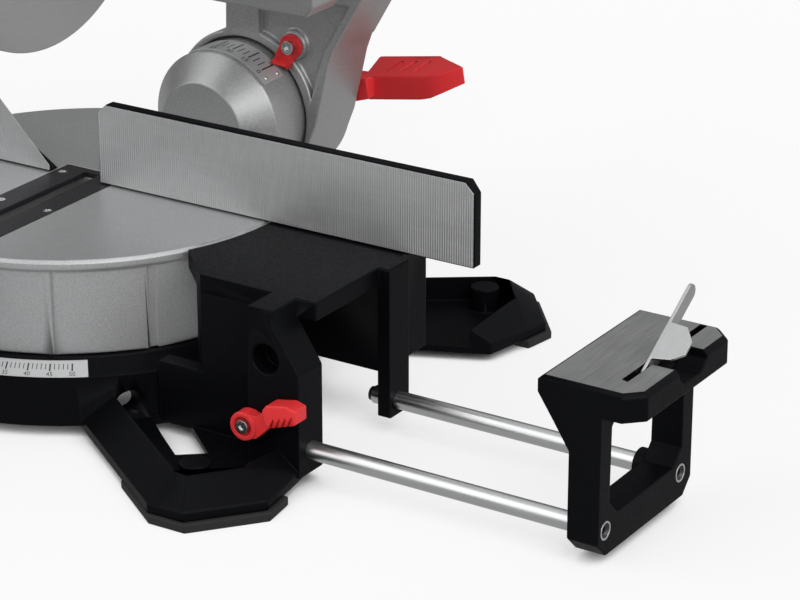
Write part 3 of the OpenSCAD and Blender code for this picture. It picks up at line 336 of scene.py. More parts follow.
def blade_plate(centre):
    """Ground saw plate: rings about the arbor and a faint lacquer."""
    plate = Finish("blade_plate", (0.52, 0.525, 0.53), 0.27, 1.0)
    place = plate.add("ShaderNodeMapping", [("Vector", plate.place), ("Location", -centre)])
    rings = plate.add("ShaderNodeTexWave", [("Vector", place.outputs["Vector"]), ("Scale", 260.0),
                                            ("Distortion", 1.2), ("Detail", 3.0)],
                      wave_type="RINGS", rings_direction="X")
    grind = rings.outputs["Fac"]
    plate.set("Base Color", plate.blend(grind, (0.46, 0.465, 0.47), (0.58, 0.585, 0.59)))
    plate.set("Roughness", plate.grade(grind, 0.2, 0.8, 0.22, 0.34))
    plate.bump(grind, 0.06, 0.0001)
    plate.close()


def printed_plate(name, base):
    """Anodised scale plate with a faint cross grain."""
    plate = Finish(name, base, 0.36, 0.35)
    plate.soften(0.0003)
    grain = plate.noise(1500.0, 2.0)
    plate.set("Base Color", plate.blend(grain, shade(base, 0.90), shade(base, 1.08)))
    plate.set("Roughness", plate.spread(grain, 0.30, 0.44))
    plate.bump(grain, 0.04, 0.0001)
    plate.close()


def scale_ink():
    """Printed black, not quite even."""
    ink = Finish("scale_ink", (0.012, 0.012, 0.013), 0.5)
    spread = ink.noise(2500.0, 2.0)
    ink.set("Base Color", ink.blend(spread, (0.010, 0.010, 0.011), (0.024, 0.024, 0.025)))
    ink.set("Roughness", ink.spread(spread, 0.42, 0.58))
    ink.close()


# Which finish each CAD node wears
WEARS = {
    "powder_coat": ("base_casting", "end_bracket_right", "end_bracket_left", "fence_right", "fence_left"),
    "table_casting": ("turntable",),
    "arm_casting": ("bevel_drum", "bevel_arm", "head_bracket", "gear_housing"),
    "guard_casting": ("upper_guard",),
    "guard_sheet": ("lower_guard",),
    "lever_red": ("clamp_lever_right", "clamp_lever_left", "bevel_lever", "bevel_pointer", "mitre_pointer",
                  "detent_lever", "trigger", "lock_off_button", "spindle_lock_button"),
    "moulded_black": ("rail_collars_right", "rail_collars_left", "kerf_insert", "mitre_handle",
                      "slide_lock_knob", "tube_end_cap", "motor_housing", "motor_end_cap", "main_handle",
                      "dust_spout"),
    "soft_rubber": ("foot_soles",),
    "ground_rail": ("rails_right", "rails_left"),
    "tube_steel": ("slide_tubes",),
    "stop_sheet": ("flip_stop_right", "flip_stop_left"),
    "black_steel": ("rail_end_screws_right", "rail_end_screws_left"),
    "plated_steel": ("turntable_pivot_bolt", "fence_screws", "stop_pin_right", "stop_pin_left",
                     "clamp_screw_right", "clamp_screw_left", "mitre_handle_screw", "detent_pin",
                     "bevel_axle", "bevel_pointer_screw", "head_pivot_pin", "spindle", "outer_flange",
                     "arbor_bolt"),
    "sintered_bronze": ("slide_bushes",),
    "anodised_plate": ("mitre_scale", "bevel_scale"),
    "blade_plate": ("blade",),
}


# Steel finishes: shade of the steel, roughness, stretch of the ground lines, lines per metre, metallic
STEELS = {
    "guard_sheet": (0.85, 0.34, (1.0, 0.12, 1.0), 900.0, 1.0),
    "ground_rail": (0.95, 0.29, (0.02, 1.0, 1.0), 900.0, 1.0),
    "tube_steel": (1.05, 0.16, (1.0, 0.02, 1.0), 900.0, 1.0),
    "stop_sheet": (0.82, 0.32, (1.0, 0.06, 0.06), 1400.0, 1.0),
    "plated_steel": (1.0, 0.26, (1.0, 1.0, 1.0), 500.0, 1.0),
    "brushed_alloy": (0.88, 0.36, (0.05, 1.0, 1.0), 900.0, 0.75),
    "milled_face": (0.62, 0.38, (1.0, 0.04, 1.0), 1100.0, 0.85),
    "black_steel": (0.05, 0.38, (1.0, 1.0, 1.0), 500.0, 0.6),
    "carbide": (0.45, 0.30, (1.0, 1.0, 1.0), 1500.0, 1.0),
}

BRONZE = (0.36, 0.22, 0.10)
PLATE_GREY = (0.46, 0.465, 0.47)


def make_finishes(finishes):
    """Makes every finish once."""
    powder_coat(finishes)
    sand_casting("table_casting", finishes.table, finishes, roughness=0.42, metallic=0.50, grain=900.0)
    sand_casting("arm_casting", finishes.casting, finishes, roughness=0.40, metallic=0.55, grain=800.0)
    sand_casting("guard_casting", shade(finishes.casting, 1.15), finishes, roughness=0.42, metallic=0.55,
                 grain=800.0)
    moulded_plastic("lever_red", finishes.lever_red, roughness=0.40, grain=1100.0, relief=0.10, wear=0.25)
    moulded_plastic("moulded_black", finishes.plastic, roughness=0.46, grain=900.0, relief=0.22, wear=0.30)
    soft_rubber()
    for name, (amount, roughness, stretch, lines, metallic) in STEELS.items():
        ground_steel(name, shade(finishes.steel, amount), roughness, stretch, lines, metallic)
    ground_steel("sintered_bronze", BRONZE, roughness=0.34, stretch=(1.0, 0.1, 1.0), lines=900.0,
                 metallic=1.0)
    printed_plate("anodised_plate", PLATE_GREY)
    scale_ink()
    low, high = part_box("blade")
    blade_plate((low + high) / 2)


def wear(piece, finish):
    """Puts one finish all over a piece."""
    piece.data.materials.clear()
    piece.data.materials.append(bpy.data.materials[finish])


class SAW_OT_finishes(bpy.types.Operator):
    """Make the finishes and put them on the CAD nodes"""
    bl_idname = "saw.finishes"
    bl_label = "Finishes"

    def execute(self, context):
        make_finishes(context.scene.saw_finishes)
        for finish, nodes in WEARS.items():
            for node in nodes:
                wear(NODES[node], finish)
        return {"FINISHED"}


# Modelling helpers

# Share of a unit vector along an axis from which a face or an edge counts as lying that way
ALONG = 0.9

BODY_OF = {node: body for body, nodes in frame["record"]["behaviour"]["bodies"].items() for node in nodes}


def only(piece):
    """Leaves one piece selected and active."""
    bpy.ops.object.select_all(action="DESELECT")
    piece.select_set(True)
    bpy.context.view_layer.objects.active = piece


def start(primitive, name, **settings):
    """Adds a primitive by its operator, alone in the selection."""
    bpy.ops.object.select_all(action="DESELECT")
    primitive(**settings)
    piece = bpy.context.object
    piece.name = piece.data.name = name
    return piece


def settle(piece):
    """Moves a piece's place into its mesh."""
    only(piece)
    bpy.ops.object.transform_apply(location=True, rotation=True, scale=True)


def block(name, low, high):
    """Starts a piece from a cube between two corners."""
    low, high = Vector(low), Vector(high)
    piece = start(bpy.ops.mesh.primitive_cube_add, name, size=1.0, location=(low + high) / 2)
    piece.scale = high - low
    settle(piece)
    return piece


def applied(piece, kind, **settings):
    """Adds a modifier and applies it."""
    only(piece)
    modifier = piece.modifiers.new(kind.lower(), kind)
    for key, value in settings.items():
        setattr(modifier, key, value)
    bpy.ops.object.modifier_apply(modifier=modifier.name)


def joined(pieces, name):
    """Makes one piece of several."""
    only(pieces[0])
    for piece in pieces[1:]:
        piece.select_set(True)
    bpy.ops.object.join()
    pieces[0].name = pieces[0].data.name = name
    return pieces[0]


def stamped(model, places, name):
    """Copies a model to each place, each copy with its own mesh, and makes one piece of them."""
    copies = []
    for place in places:
        copy = model.copy()
        copy.data = model.data.copy()
        copy.data.transform(place)
        bpy.context.collection.objects.link(copy)
        copies.append(copy)
    bpy.data.objects.remove(model)
    return joined(copies, name)


def edit_faces(piece, wanted):
    """Opens a piece in edit mode with the faces selected for which wanted(face) holds."""
    only(piece)
    bpy.ops.object.mode_set(mode="EDIT")
    bpy.ops.mesh.select_mode(type="FACE")
    bpy.ops.mesh.select_all(action="DESELECT")
    bpy.ops.object.mode_set(mode="OBJECT")
    for face in piece.data.polygons:
        face.select = wanted(face)
    bpy.ops.object.mode_set(mode="EDIT")


def edit_all(piece):
    """Opens a piece in edit mode with everything selected."""
    only(piece)
    bpy.ops.object.mode_set(mode="EDIT")
    bpy.ops.mesh.select_all(action="SELECT")


def done():
    """Closes edit mode."""
    bpy.ops.object.mode_set(mode="OBJECT")


def smoothed(piece, angle=30.0):
    """Shades a piece smooth where its faces meet at less than an angle."""
    only(piece)
    bpy.ops.object.shade_smooth_by_angle(angle=math.radians(angle))
    return piece


def cut_off(piece, point, outward):
    """Cuts away what lies beyond a plane and closes the cut."""
    edit_all(piece)
    bpy.ops.mesh.bisect(plane_co=point, plane_no=outward, clear_outer=True, use_fill=True)
    done()


def dress(piece, finish, node):
    """Gives a piece its finish and the body of a CAD node."""
    wear(piece, finish)
    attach(piece, BODY_OF[node])


# Rounded castings, levers and mouldings

# Radius inside which the edges of the base stay sharp
RING_R = 0.172

# Distance from a front rail's axis within which the edges of the base stay sharp
BORE_LAND = 10.0 * MM

# Distance within which points of a CAD node are one, and angle within which its triangles are one face
SAME_POINT = 1e-6
SAME_FACE = math.radians(0.5)

# Angle from which an edge is rounded, and the free length that it needs beside it, in radii
SHARP_FROM = math.radians(30.0)
ROOM = 2.4

# How closely another edge may run beside an edge that is rounded, as the cosine between them
TOO_CLOSE = 0.55

# Angle in degrees up to which a rounded piece is shaded smooth
SMOOTH_UP_TO = 35.0

# Depth of the skin that a milled top bares, and how level its faces are
MILLED_SKIN = 0.2 * MM
LEVEL = 0.99

# Share of a face's normal across the handle below which the face belongs to its rim
RIM_TURN = 0.5

# Nodes with rounded edges, with the radius in mm
SOFT_EDGES = {
    "base_casting": 1.2, "end_bracket_right": 0.9, "end_bracket_left": 0.9, "turntable": 1.4,
    "bevel_arm": 1.8, "bevel_drum": 0.8, "bevel_lever": 1.6, "clamp_lever_right": 1.0,
    "clamp_lever_left": 1.0, "bevel_pointer": 0.5, "flip_stop_right": 0.3, "flip_stop_left": 0.3,
    "head_bracket": 1.5, "gear_housing": 1.5, "upper_guard": 1.0, "motor_housing": 1.5, "main_handle": 2.0,
    "mitre_handle": 1.2, "dust_spout": 0.8, "slide_lock_knob": 0.8, "tube_end_cap": 1.0, "foot_soles": 1.0,
    "fence_right": 0.8, "fence_left": 0.8, "kerf_insert": 0.5, "lower_guard": 0.5, "motor_end_cap": 1.0,
    "detent_lever": 0.8, "mitre_pointer": 0.4, "trigger": 0.8, "lock_off_button": 0.5,
    "spindle_lock_button": 0.5, "outer_flange": 0.4, "arbor_bolt": 0.4,
}

# Pieces whose inner corners stay sharp, because a part moves in them
SHARP_HOLLOWS = ("main_handle",)

# Pieces whose upright edges stay sharp, because fine ribs stand beside them
SHARP_UPRIGHTS = ("turntable",)


def has_room(edge, sharp, room):
    """Whether a rounding of this size fits beside an edge at both its ends."""
    for vert in edge.verts:
        away = (edge.other_vert(vert).co - vert.co).normalized()
        for other in vert.link_edges:
            if other is edge:
                continue
            turn = away.dot((other.other_vert(vert).co - vert.co).normalized())
            goes_on = turn < -ALONG and other in sharp
            if turn > TOO_CLOSE or (other.calc_length() < room and not goes_on):
                return False
    return True


def is_upright(edge):
    """Whether an edge stands nearly straight up."""
    return abs((edge.verts[0].co - edge.verts[1].co).normalized().z) > ALONG


def front_rail_axis():
    """Place of the front rails' axis, as (y, z)."""
    low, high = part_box("rails_right")
    return Vector((low.y + (high.z - low.z) / 2, (low.z + high.z) / 2))


def at_rail_bore(edge, axis):
    """Whether an edge of the base runs round a front rail's bore, where the wall is too thin to round."""
    return all((vert.co.yz - axis).length < BORE_LAND for vert in edge.verts)


def roomy_edges(node, mesh, room):
    """Indices of the sharp edges that can be rounded, outside the ring and the rail bores of the base."""
    is_base = node == "base_casting"
    core = RING_R if is_base else 0.0
    rail_axis = front_rail_axis()
    shape = bmesh.new()
    shape.from_mesh(mesh)
    sharp = {edge for edge in shape.edges
             if len(edge.link_faces) == 2 and edge.calc_face_angle(0.0) > SHARP_FROM
             and (node not in SHARP_HOLLOWS or edge.is_convex)
             and (node not in SHARP_UPRIGHTS or not is_upright(edge))}
    chosen = [edge.index for edge in sharp
              if min(vert.co.xy.length for vert in edge.verts) >= core and has_room(edge, sharp, room)
              and not (is_base and at_rail_bore(edge, rail_axis))]
    shape.free()
    return chosen


def soft_copy(node, radius):
    """Copies a CAD node, joins its loose triangles into faces and rounds its free edges."""
    source = NODES[node]
    piece = source.copy()
    piece.data = source.data.copy()
    piece.name = piece.data.name = node + "_soft"
    piece.parent = None
    bpy.context.collection.objects.link(piece)
    edit_all(piece)
    bpy.ops.mesh.remove_doubles(threshold=SAME_POINT)
    bpy.ops.mesh.dissolve_limited(angle_limit=SAME_FACE)
    bpy.ops.mesh.select_mode(type="EDGE")
    bpy.ops.mesh.select_all(action="DESELECT")
    done()
    for index in roomy_edges(node, piece.data, ROOM * radius):
        piece.data.edges[index].select = True
    bpy.ops.object.mode_set(mode="EDIT")
    bpy.ops.mesh.bevel(offset=radius, segments=3, affect="EDGES", clamp_overlap=False)
    done()
    smoothed(piece, SMOOTH_UP_TO)
    applied(piece, "WEIGHTED_NORMAL", keep_sharp=True, weight=100)
    return piece


def second_finish(piece, finish, wanted):
    """Gives a piece a second finish on the faces for which wanted(face) holds."""
    piece.data.materials.append(bpy.data.materials[finish])
    edit_faces(piece, wanted)
    piece.active_material_index = 1
    bpy.ops.object.material_slot_assign()
    done()


def mill_top(piece):
    """Bares the metal on a piece's top face."""
    top = max(vert.co.z for vert in piece.data.vertices)
    second_finish(piece, "milled_face",
                  lambda face: face.normal.z > LEVEL and face.center.z > top - MILLED_SKIN)


def rubber_rim(piece):
    """Covers the rim that the hand closes round with rubber, between the two flat sides."""
    second_finish(piece, "soft_rubber", lambda face: abs(face.normal.x) < RIM_TURN)


class SAW_OT_castings(bpy.types.Operator):
    """Round the edges of the castings, levers and mouldings"""
    bl_idname = "saw.castings"
    bl_label = "Rounded castings"

    def execute(self, context):
        finish_of = {node: finish for finish, nodes in WEARS.items() for node in nodes}
        for node, radius in SOFT_EDGES.items():
            piece = soft_copy(node, radius * MM)
            dress(piece, finish_of[node], node)
            if node.startswith("end_bracket"):
                mill_top(piece)
            elif node == "main_handle":
                rubber_rim(piece)
            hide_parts(node)
        return {"FINISHED"}


# Fence facings

# Width and height in mm of the corner cut from a fence's upper end
CORNER_W, CORNER_H = 6.0, 8.0

# Height above the table from which the left fence is cut back, and its run to each unit of rise
CUT_BACK_FOOT = 4 * MM
CUT_BACK_RUN = 1.75

# Room left at the facing's ends and at its foot
FACING_END = 0.9 * MM
FACING_FOOT = 1.5 * MM

# Shares of the pitch between which a rib stands, its taper, and how far it is sunk in the sheet
RIB_FROM, RIB_TO = 0.3, 0.9
RIB_TAPER = 0.45
RIB_SUNK = 0.1 * MM


def facing_cuts(low, high, side):
    """Planes that trim a facing to its fence's ends, each as a point and the way that is cut off."""
    outer = high.x if side > 0 else low.x
    inner = low.x if side > 0 else high.x
    corner_z = high.z - CORNER_H * MM
    cuts = [((outer, 0.0, corner_z), (side * CORNER_H, 0.0, CORNER_W))]
    if side > 0:
        cuts.append(((inner, 0.0, corner_z), (-1.0, 0.0, 1.0)))
    else:
        cuts.append(((inner, 0.0, TABLE_Z + CUT_BACK_FOOT), (1.0, 0.0, CUT_BACK_RUN)))
    return cuts


def ribbed_facing(node, side, fence):
    """Facing sheet with upright ribs on the front of one fence."""
    low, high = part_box(node)
    left, right = low.x + FACING_END, high.x - FACING_END
    foot, top = TABLE_Z + FACING_FOOT, high.z - fence.lip
    front = low.y - fence.sheet
    sheet = block("facing_sheet", (left, front, foot), (right, low.y, top))
    rib = block("facing_rib", (left + RIB_FROM * fence.pitch, front - fence.depth, foot),
                (left + RIB_TO * fence.pitch, front + RIB_SUNK, top))
    edit_faces(rib, lambda face: face.normal.y < -ALONG)
    bpy.ops.transform.resize(value=(RIB_TAPER, 1.0, 1.0))
    done()
    applied(rib, "ARRAY", count=int((right - left) / fence.pitch), use_relative_offset=False,
            use_constant_offset=True, constant_offset_displace=(fence.pitch, 0.0, 0.0))
    for piece in (sheet, rib):
        for point, outward in facing_cuts(low, high, side):
            cut_off(piece, point, outward)
    return smoothed(joined([sheet, rib], node + "_facing"))


class SAW_OT_fence_facings(bpy.types.Operator):
    """Put a bright ribbed facing on the front of each fence"""
    bl_idname = "saw.fence_facings"
    bl_label = "Fence facings"

    def execute(self, context):
        for node, side in (("fence_right", 1), ("fence_left", -1)):
            facing = ribbed_facing(node, side, context.scene.saw_fence)
            dress(facing, "brushed_alloy", node)
        return {"FINISHED"}


# Scales

# Taper of a printed mark towards its face
MARK_TAPER = (0.8, 0.96, 1.0)

# Height of a figure as a share of its type size
FIGURE_SHARE = 0.7

# Distance within which points of a plate lie at one height
SAME_HEIGHT = 0.05 * MM

# Mitre scale: last degree, degrees between bold marks, heights of its marks, and where marks and figures
# stand up the plate
MITRE_END, MITRE_STEP = 50, 5
MITRE_FINE, MITRE_BOLD = 4.2 * MM, 5.6 * MM
FINE_AT, BOLD_AT, FIGURE_AT = 0.48, 0.38, 0.19

# Bevel scale: last degree, degrees between marks and between bold ones, lengths of its marks, and how far
# marks and figures lie from the plate's front
BEVEL_END, BEVEL_STEP, BEVEL_BOLD_STEP = 45, 5, 15
BEVEL_FINE, BEVEL_BOLD = 9.0 * MM, 14.0 * MM
BEVEL_MARKS, BEVEL_FIGURES = 8.5 * MM, 4.2 * MM

# Widths of the bevel marks against the mitre scale's bold ones, and height of the figures against its figures
BEVEL_FINE_W, BEVEL_BOLD_W, BEVEL_FIGURE_H = 0.8, 1.2, 1.4

# Rivets: radius, flatness, depth in the plate, and room to the plate's front and back
RIVET_R, RIVET_FLAT, RIVET_SUNK = 1.6 * MM, 0.55, 0.1 * MM
RIVET_FRONT, RIVET_BACK = 6 * MM, 5 * MM


def ink_mark(width, height, relief):
    """One printed mark that stands on the origin, along Y, and is raised along Z."""
    mark = block("mark", (-width / 2, 0.0, 0.0), (width / 2, height, relief))
    edit_faces(mark, lambda face: face.normal.z > ALONG)
    bpy.ops.transform.resize(value=MARK_TAPER)
    done()
    return mark


def ink_figure(words, height, relief):
    """One printed figure, centred on the origin, as a mesh."""
    bpy.ops.object.select_all(action="DESELECT")
    bpy.ops.object.text_add()
    figure = bpy.context.object
    figure.data.body = words
    figure.data.align_x = "CENTER"
    figure.data.align_y = "CENTER"
    figure.data.size = height / FIGURE_SHARE
    figure.data.extrude = relief / 2
    bpy.ops.object.convert(target="MESH")
    return bpy.context.object


def cone_place(angle, up, scale):
    """Where the mitre scale reads an angle from the front, at a share of the plate's height."""
    radius = scale["foot_r"] + (scale["top_r"] - scale["foot_r"]) * up
    out = Vector((math.sin(angle), -math.cos(angle), 0.0))
    right = Vector((math.cos(angle), math.sin(angle), 0.0))
    slope = (out * (scale["top_r"] - scale["foot_r"]) +
             Vector((0.0, 0.0, scale["top_z"] - scale["foot_z"]))).normalized()
    point = out * radius
    point.z = scale["foot_z"] + (scale["top_z"] - scale["foot_z"]) * up
    return frame_at(point, right, slope)


def drum_place(angle, along, scale):
    """Where the bevel scale reads an angle from the horizontal, at a distance along the drum."""
    out = Vector((math.cos(angle), 0.0, math.sin(angle)))
    right = Vector((math.sin(angle), 0.0, -math.cos(angle)))
    point = out * scale["radius"] + Vector((0.0, along, scale["axis_z"]))
    return frame_at(point, right, Vector((0.0, 1.0, 0.0)))


def frame_at(point, right, up):
    """Matrix that lays flat print at a point with its right and up along two directions."""
    facing = right.cross(up)
    columns = Matrix((right, up, facing)).transposed().to_4x4()
    return Matrix.Translation(point) @ columns


def mitre_cone():
    """Radii and heights of the mitre scale's outer face, read from its plate."""
    verts = NODES["mitre_scale"].data.vertices
    top_z = max(vert.co.z for vert in verts)
    foot_z = min(vert.co.z for vert in verts)

    def reach(height):
        return max(vert.co.xy.length for vert in verts if abs(vert.co.z - height) < SAME_HEIGHT)
    return {"foot_r": reach(foot_z), "top_r": reach(top_z), "foot_z": foot_z, "top_z": top_z}


def scale_drum():
    """Height of the tilt axis, and radius, front and back of the bevel scale's plate, read from it."""
    low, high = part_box("bevel_scale")
    tilt = next(joint for joint in frame["record"]["behaviour"]["joints"] if joint["name"] == "bevel_tilt")
    axis_z = tilt["pos_m"][2]
    radius = max(math.hypot(vert.co.x, vert.co.z - axis_z) for vert in NODES["bevel_scale"].data.vertices)
    return {"axis_z": axis_z, "radius": radius, "front": low.y, "back": high.y}


def printed(name, rows, figures, height, relief):
    """One print of rows of marks, as (width, length, places), and of figures, as (words, place)."""
    marks = [stamped(ink_mark(width, size, relief), places, name + "_row") for width, size, places in rows]
    for words, place in figures:
        figure = ink_figure(words, height, relief)
        figure.data.transform(place)
        marks.append(figure)
    return joined(marks, name)


def print_mitre_scale(scales):
    """Degree marks and figures of the mitre scale."""
    cone = mitre_cone()

    def place(degree, up):
        return cone_place(math.radians(scales.mitre_zero + degree), up, cone)
    degrees = range(-MITRE_END, MITRE_END + 1)
    bold = [degree for degree in degrees if degree % MITRE_STEP == 0]
    fine = [degree for degree in degrees if degree % MITRE_STEP]
    rows = [(scales.fine, MITRE_FINE, [place(degree, FINE_AT) for degree in fine]),
            (scales.bold, MITRE_BOLD, [place(degree, BOLD_AT) for degree in bold])]
    figures = [("%d" % abs(degree), place(degree, FIGURE_AT)) for degree in bold]
    return printed("mitre_scale_print", rows, figures, scales.figure, scales.relief)


def print_bevel_scale(scales, drum):
    """Degree marks and figures of the bevel scale."""
    def place(degree, along):
        return drum_place(math.radians(scales.bevel_zero + degree), drum["front"] + along, drum)
    degrees = range(0, BEVEL_END + 1, BEVEL_STEP)
    bold = [degree for degree in degrees if degree % BEVEL_BOLD_STEP == 0]
    fine = [degree for degree in degrees if degree % BEVEL_BOLD_STEP]
    rows = [(scales.bold * BEVEL_FINE_W, BEVEL_FINE, [place(degree, BEVEL_MARKS) for degree in fine]),
            (scales.bold * BEVEL_BOLD_W, BEVEL_BOLD, [place(degree, BEVEL_MARKS) for degree in bold])]
    figures = [("%d" % degree, place(degree, BEVEL_FIGURES)) for degree in bold]
    return printed("bevel_scale_print", rows, figures, scales.figure * BEVEL_FIGURE_H, scales.relief)


def drive_rivets(scales, drum):
    """Two domed rivets at the bevel plate's end."""
    rivet = start(bpy.ops.mesh.primitive_uv_sphere_add, "rivet", segments=16, ring_count=8, radius=RIVET_R)
    rivet.scale.z = RIVET_FLAT
    settle(rivet)
    cut_off(rivet, (0.0, 0.0, -RIVET_SUNK), (0.0, 0.0, -1.0))
    angle = math.radians(scales.rivet_at)
    places = [drum_place(angle, along, drum)
              for along in (drum["front"] + RIVET_FRONT, drum["back"] - RIVET_BACK)]
    return smoothed(stamped(rivet, places, "bevel_scale_rivets"))


class SAW_OT_scales(bpy.types.Operator):
    """Print the mitre and bevel scales and rivet the bevel plate"""
    bl_idname = "saw.scales"
    bl_label = "Scales"

    def execute(self, context):
        scales, drum = context.scene.saw_scales, scale_drum()
        dress(print_mitre_scale(scales), "scale_ink", "mitre_scale")
        dress(print_bevel_scale(scales, drum), "scale_ink", "bevel_scale")
        dress(drive_rivets(scales, drum), "plated_steel", "bevel_scale")
        return {"FINISHED"}


# Small hardware

# How near the blade's rim a tooth point lies, and the least angle between two of them
NEAR_RIM = 0.2 * MM
TOOTH_APART = 0.02

# Blade tips: depth, tapers at the root and at the back, and how far they stand out and ahead of the tooth
TIP_D = 1.9 * MM
TIP_ROOT, TIP_BACK = (0.82, 0.8, 1.0), (0.9, 1.0, 0.86)
TIP_PROUD, TIP_AHEAD = 0.1 * MM, 0.2 * MM

# Insert screws: depths of head and recess, depth below the table, and softness of the edges
SCREW_D, SCREW_RECESS = 1.7 * MM, 0.9 * MM
SCREW_SUNK, SCREW_EDGE = 0.15 * MM, 0.15 * MM

# Radius under a screw's head, and length and width of its recess, against the head's radius
SCREW_FOOT = 0.45
RECESS_LONG, RECESS_WIDE = 1.25, 0.32

# Screw holes of the insert: distance from its middle, give, greatest width and least number of points
HOLE_X, HOLE_GIVE, HOLE_W, HOLE_POINTS = 20 * MM, 4 * MM, 9 * MM, 12


def tooth_points():
    """Middle of the blade, reach of its teeth and angles of their points, read from its plate."""
    low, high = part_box("blade")
    arbor = (low + high) / 2
    reach = max((vert.co.yz - arbor.yz).length for vert in NODES["blade"].data.vertices)
    angles = []
    for vert in NODES["blade"].data.vertices:
        arm = vert.co.yz - arbor.yz
        turn = math.atan2(arm.y, arm.x)
        if arm.length > reach - NEAR_RIM and all(abs(turn - angle) > TOOTH_APART for angle in angles):
            angles.append(turn)
    return arbor, reach, sorted(angles)


def carbide_tip(hardware):
    """One brazed tip: its point up along Z, its cutting face along -Y, wider at the point."""
    tip = block("tip", (-hardware.tip_w / 2, 0.0, -hardware.tip_h), (hardware.tip_w / 2, TIP_D, 0.0))
    edit_faces(tip, lambda face: face.normal.z < -ALONG)
    bpy.ops.transform.resize(value=TIP_ROOT)
    done()
    edit_faces(tip, lambda face: face.normal.y > ALONG)
    bpy.ops.transform.resize(value=TIP_BACK)
    done()
    return tip


class SAW_OT_blade_tips(bpy.types.Operator):
    """Braze a carbide tip on every tooth of the blade"""
    bl_idname = "saw.blade_tips"
    bl_label = "Blade tips"

    def execute(self, context):
        arbor, reach, angles = tooth_points()
        places = []
        for angle in angles:
            out = Vector((0.0, math.cos(angle), math.sin(angle)))
            rear = Vector((0.0, -math.sin(angle), math.cos(angle)))
            columns = Matrix((Vector((1.0, 0.0, 0.0)), rear, out)).transposed().to_4x4()
            point = arbor + out * (reach + TIP_PROUD) - rear * TIP_AHEAD
            places.append(Matrix.Translation(point) @ columns)
        tips = stamped(carbide_tip(context.scene.saw_hardware), places, "blade_tips")
        dress(tips, "carbide", "blade")
        return {"FINISHED"}


def cross_screw(head):
    """One countersunk screw head with a cross recess, its flat top on the origin."""
    screw = start(bpy.ops.mesh.primitive_cone_add, "screw", vertices=32, radius1=SCREW_FOOT * head,
                  radius2=head, depth=SCREW_D, location=(0.0, 0.0, -SCREW_D / 2))
    settle(screw)
    for wide, deep in ((RECESS_LONG, RECESS_WIDE), (RECESS_WIDE, RECESS_LONG)):
        corner = Vector((wide * head / 2, deep * head / 2, SCREW_RECESS))
        arm = block("arm", -corner, corner)
        applied(screw, "BOOLEAN", operation="DIFFERENCE", object=arm, solver="EXACT")
        bpy.data.objects.remove(arm)
    applied(screw, "BEVEL", width=SCREW_EDGE, segments=1, limit_method="ANGLE", use_clamp_overlap=True)
    return screw


def insert_holes():
    """Centres of the table insert's countersunk holes, read from the rings of points on its top."""
    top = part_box("kerf_insert")[1].z
    rings = []
    for vert in NODES["kerf_insert"].data.vertices:
        if vert.co.z < top - SAME_HEIGHT or abs(abs(vert.co.x) - HOLE_X) > HOLE_GIVE:
            continue
        for ring in rings:
            if (ring[0] - vert.co).length < HOLE_W:
                ring.append(vert.co.copy())
                break
        else:
            rings.append([vert.co.copy()])
    middles = []
    for ring in rings:
        if len(ring) > HOLE_POINTS:
            low = Vector([min(point[k] for point in ring) for k in range(3)])
            high = Vector([max(point[k] for point in ring) for k in range(3)])
            middles.append((low + high) / 2)
    return middles


class SAW_OT_insert_screws(bpy.types.Operator):
    """Screw the table insert down"""
    bl_idname = "saw.insert_screws"
    bl_label = "Insert screws"

    def execute(self, context):
        screw = cross_screw(context.scene.saw_hardware.screw_r)
        holes = insert_holes()
        if not holes:
            raise RuntimeError("no screw holes found in the table insert")
        places = [Matrix.Translation(hole - Vector((0.0, 0.0, SCREW_SUNK))) for hole in holes]
        screws = smoothed(stamped(screw, places, "kerf_insert_screws"))
        dress(screws, "plated_steel", "kerf_insert")
        return {"FINISHED"}


# Stage

WHITE = (1.0, 1.0, 1.0, 1.0)

# Where the bright side of the surroundings lies, and how far towards it reflections go from dim to white
BRIGHT_SIDE = Vector((0.55, -0.15, 0.82))
DIM_AT, WHITE_AT = -0.15, 0.5

# Lights: width in degrees and the way that they shine
KEY_WIDTH, KEY_WAY = 56.0, (-0.68, 0.36, -0.64)
FILL_WIDTH, FILL_WAY = 60.0, (0.55, 0.62, -0.55)

# Width of the camera's picture in mm
SENSOR_W = 36.0

# Floor: side, distance behind the saw, height up to which a cover counts, and how open to the light it is
# where it turns from shadow to white
FLOOR_SIDE, FLOOR_BACK = 16.0, 3.0
COVER_REACH = 0.06
COVERED, OPEN = 0.3, 0.55


def white_surroundings(scene, stage):
    """World that is white to the camera, graded from dim to white in reflections, and dim as a light."""
    world = bpy.data.worlds.new("studio")
    world.use_nodes = True
    tree = world.node_tree
    rays = add_node(tree, "ShaderNodeLightPath").outputs
    way = add_node(tree, "ShaderNodeTexCoord").outputs["Generated"]
    aim = add_node(tree, "ShaderNodeVectorMath", [(0, way), (1, BRIGHT_SIDE)], operation="DOT_PRODUCT")
    graded = add_node(tree, "ShaderNodeMapRange",
                      [("Value", aim.outputs["Value"]), ("From Min", DIM_AT), ("From Max", WHITE_AT),
                       ("To Min", stage.dim_side), ("To Max", 1.0)], interpolation_type="SMOOTHSTEP")
    unseen = add_node(tree, "ShaderNodeMix", [("Factor", rays["Is Glossy Ray"]), ("A", stage.ambient),
                                              ("B", graded.outputs["Result"])])
    seen = add_node(tree, "ShaderNodeMath", [(0, rays["Is Camera Ray"]), (1, rays["Is Transmission Ray"])],
                    operation="MAXIMUM")
    level = add_node(tree, "ShaderNodeMix", [("Factor", seen.outputs["Value"]),
                                             ("A", unseen.outputs["Result"]), ("B", 1.0)])
    backdrop = tree.nodes["Background"].inputs
    feed(tree, backdrop["Strength"], level.outputs["Result"])
    feed(tree, backdrop["Color"], WHITE)
    scene.world = world


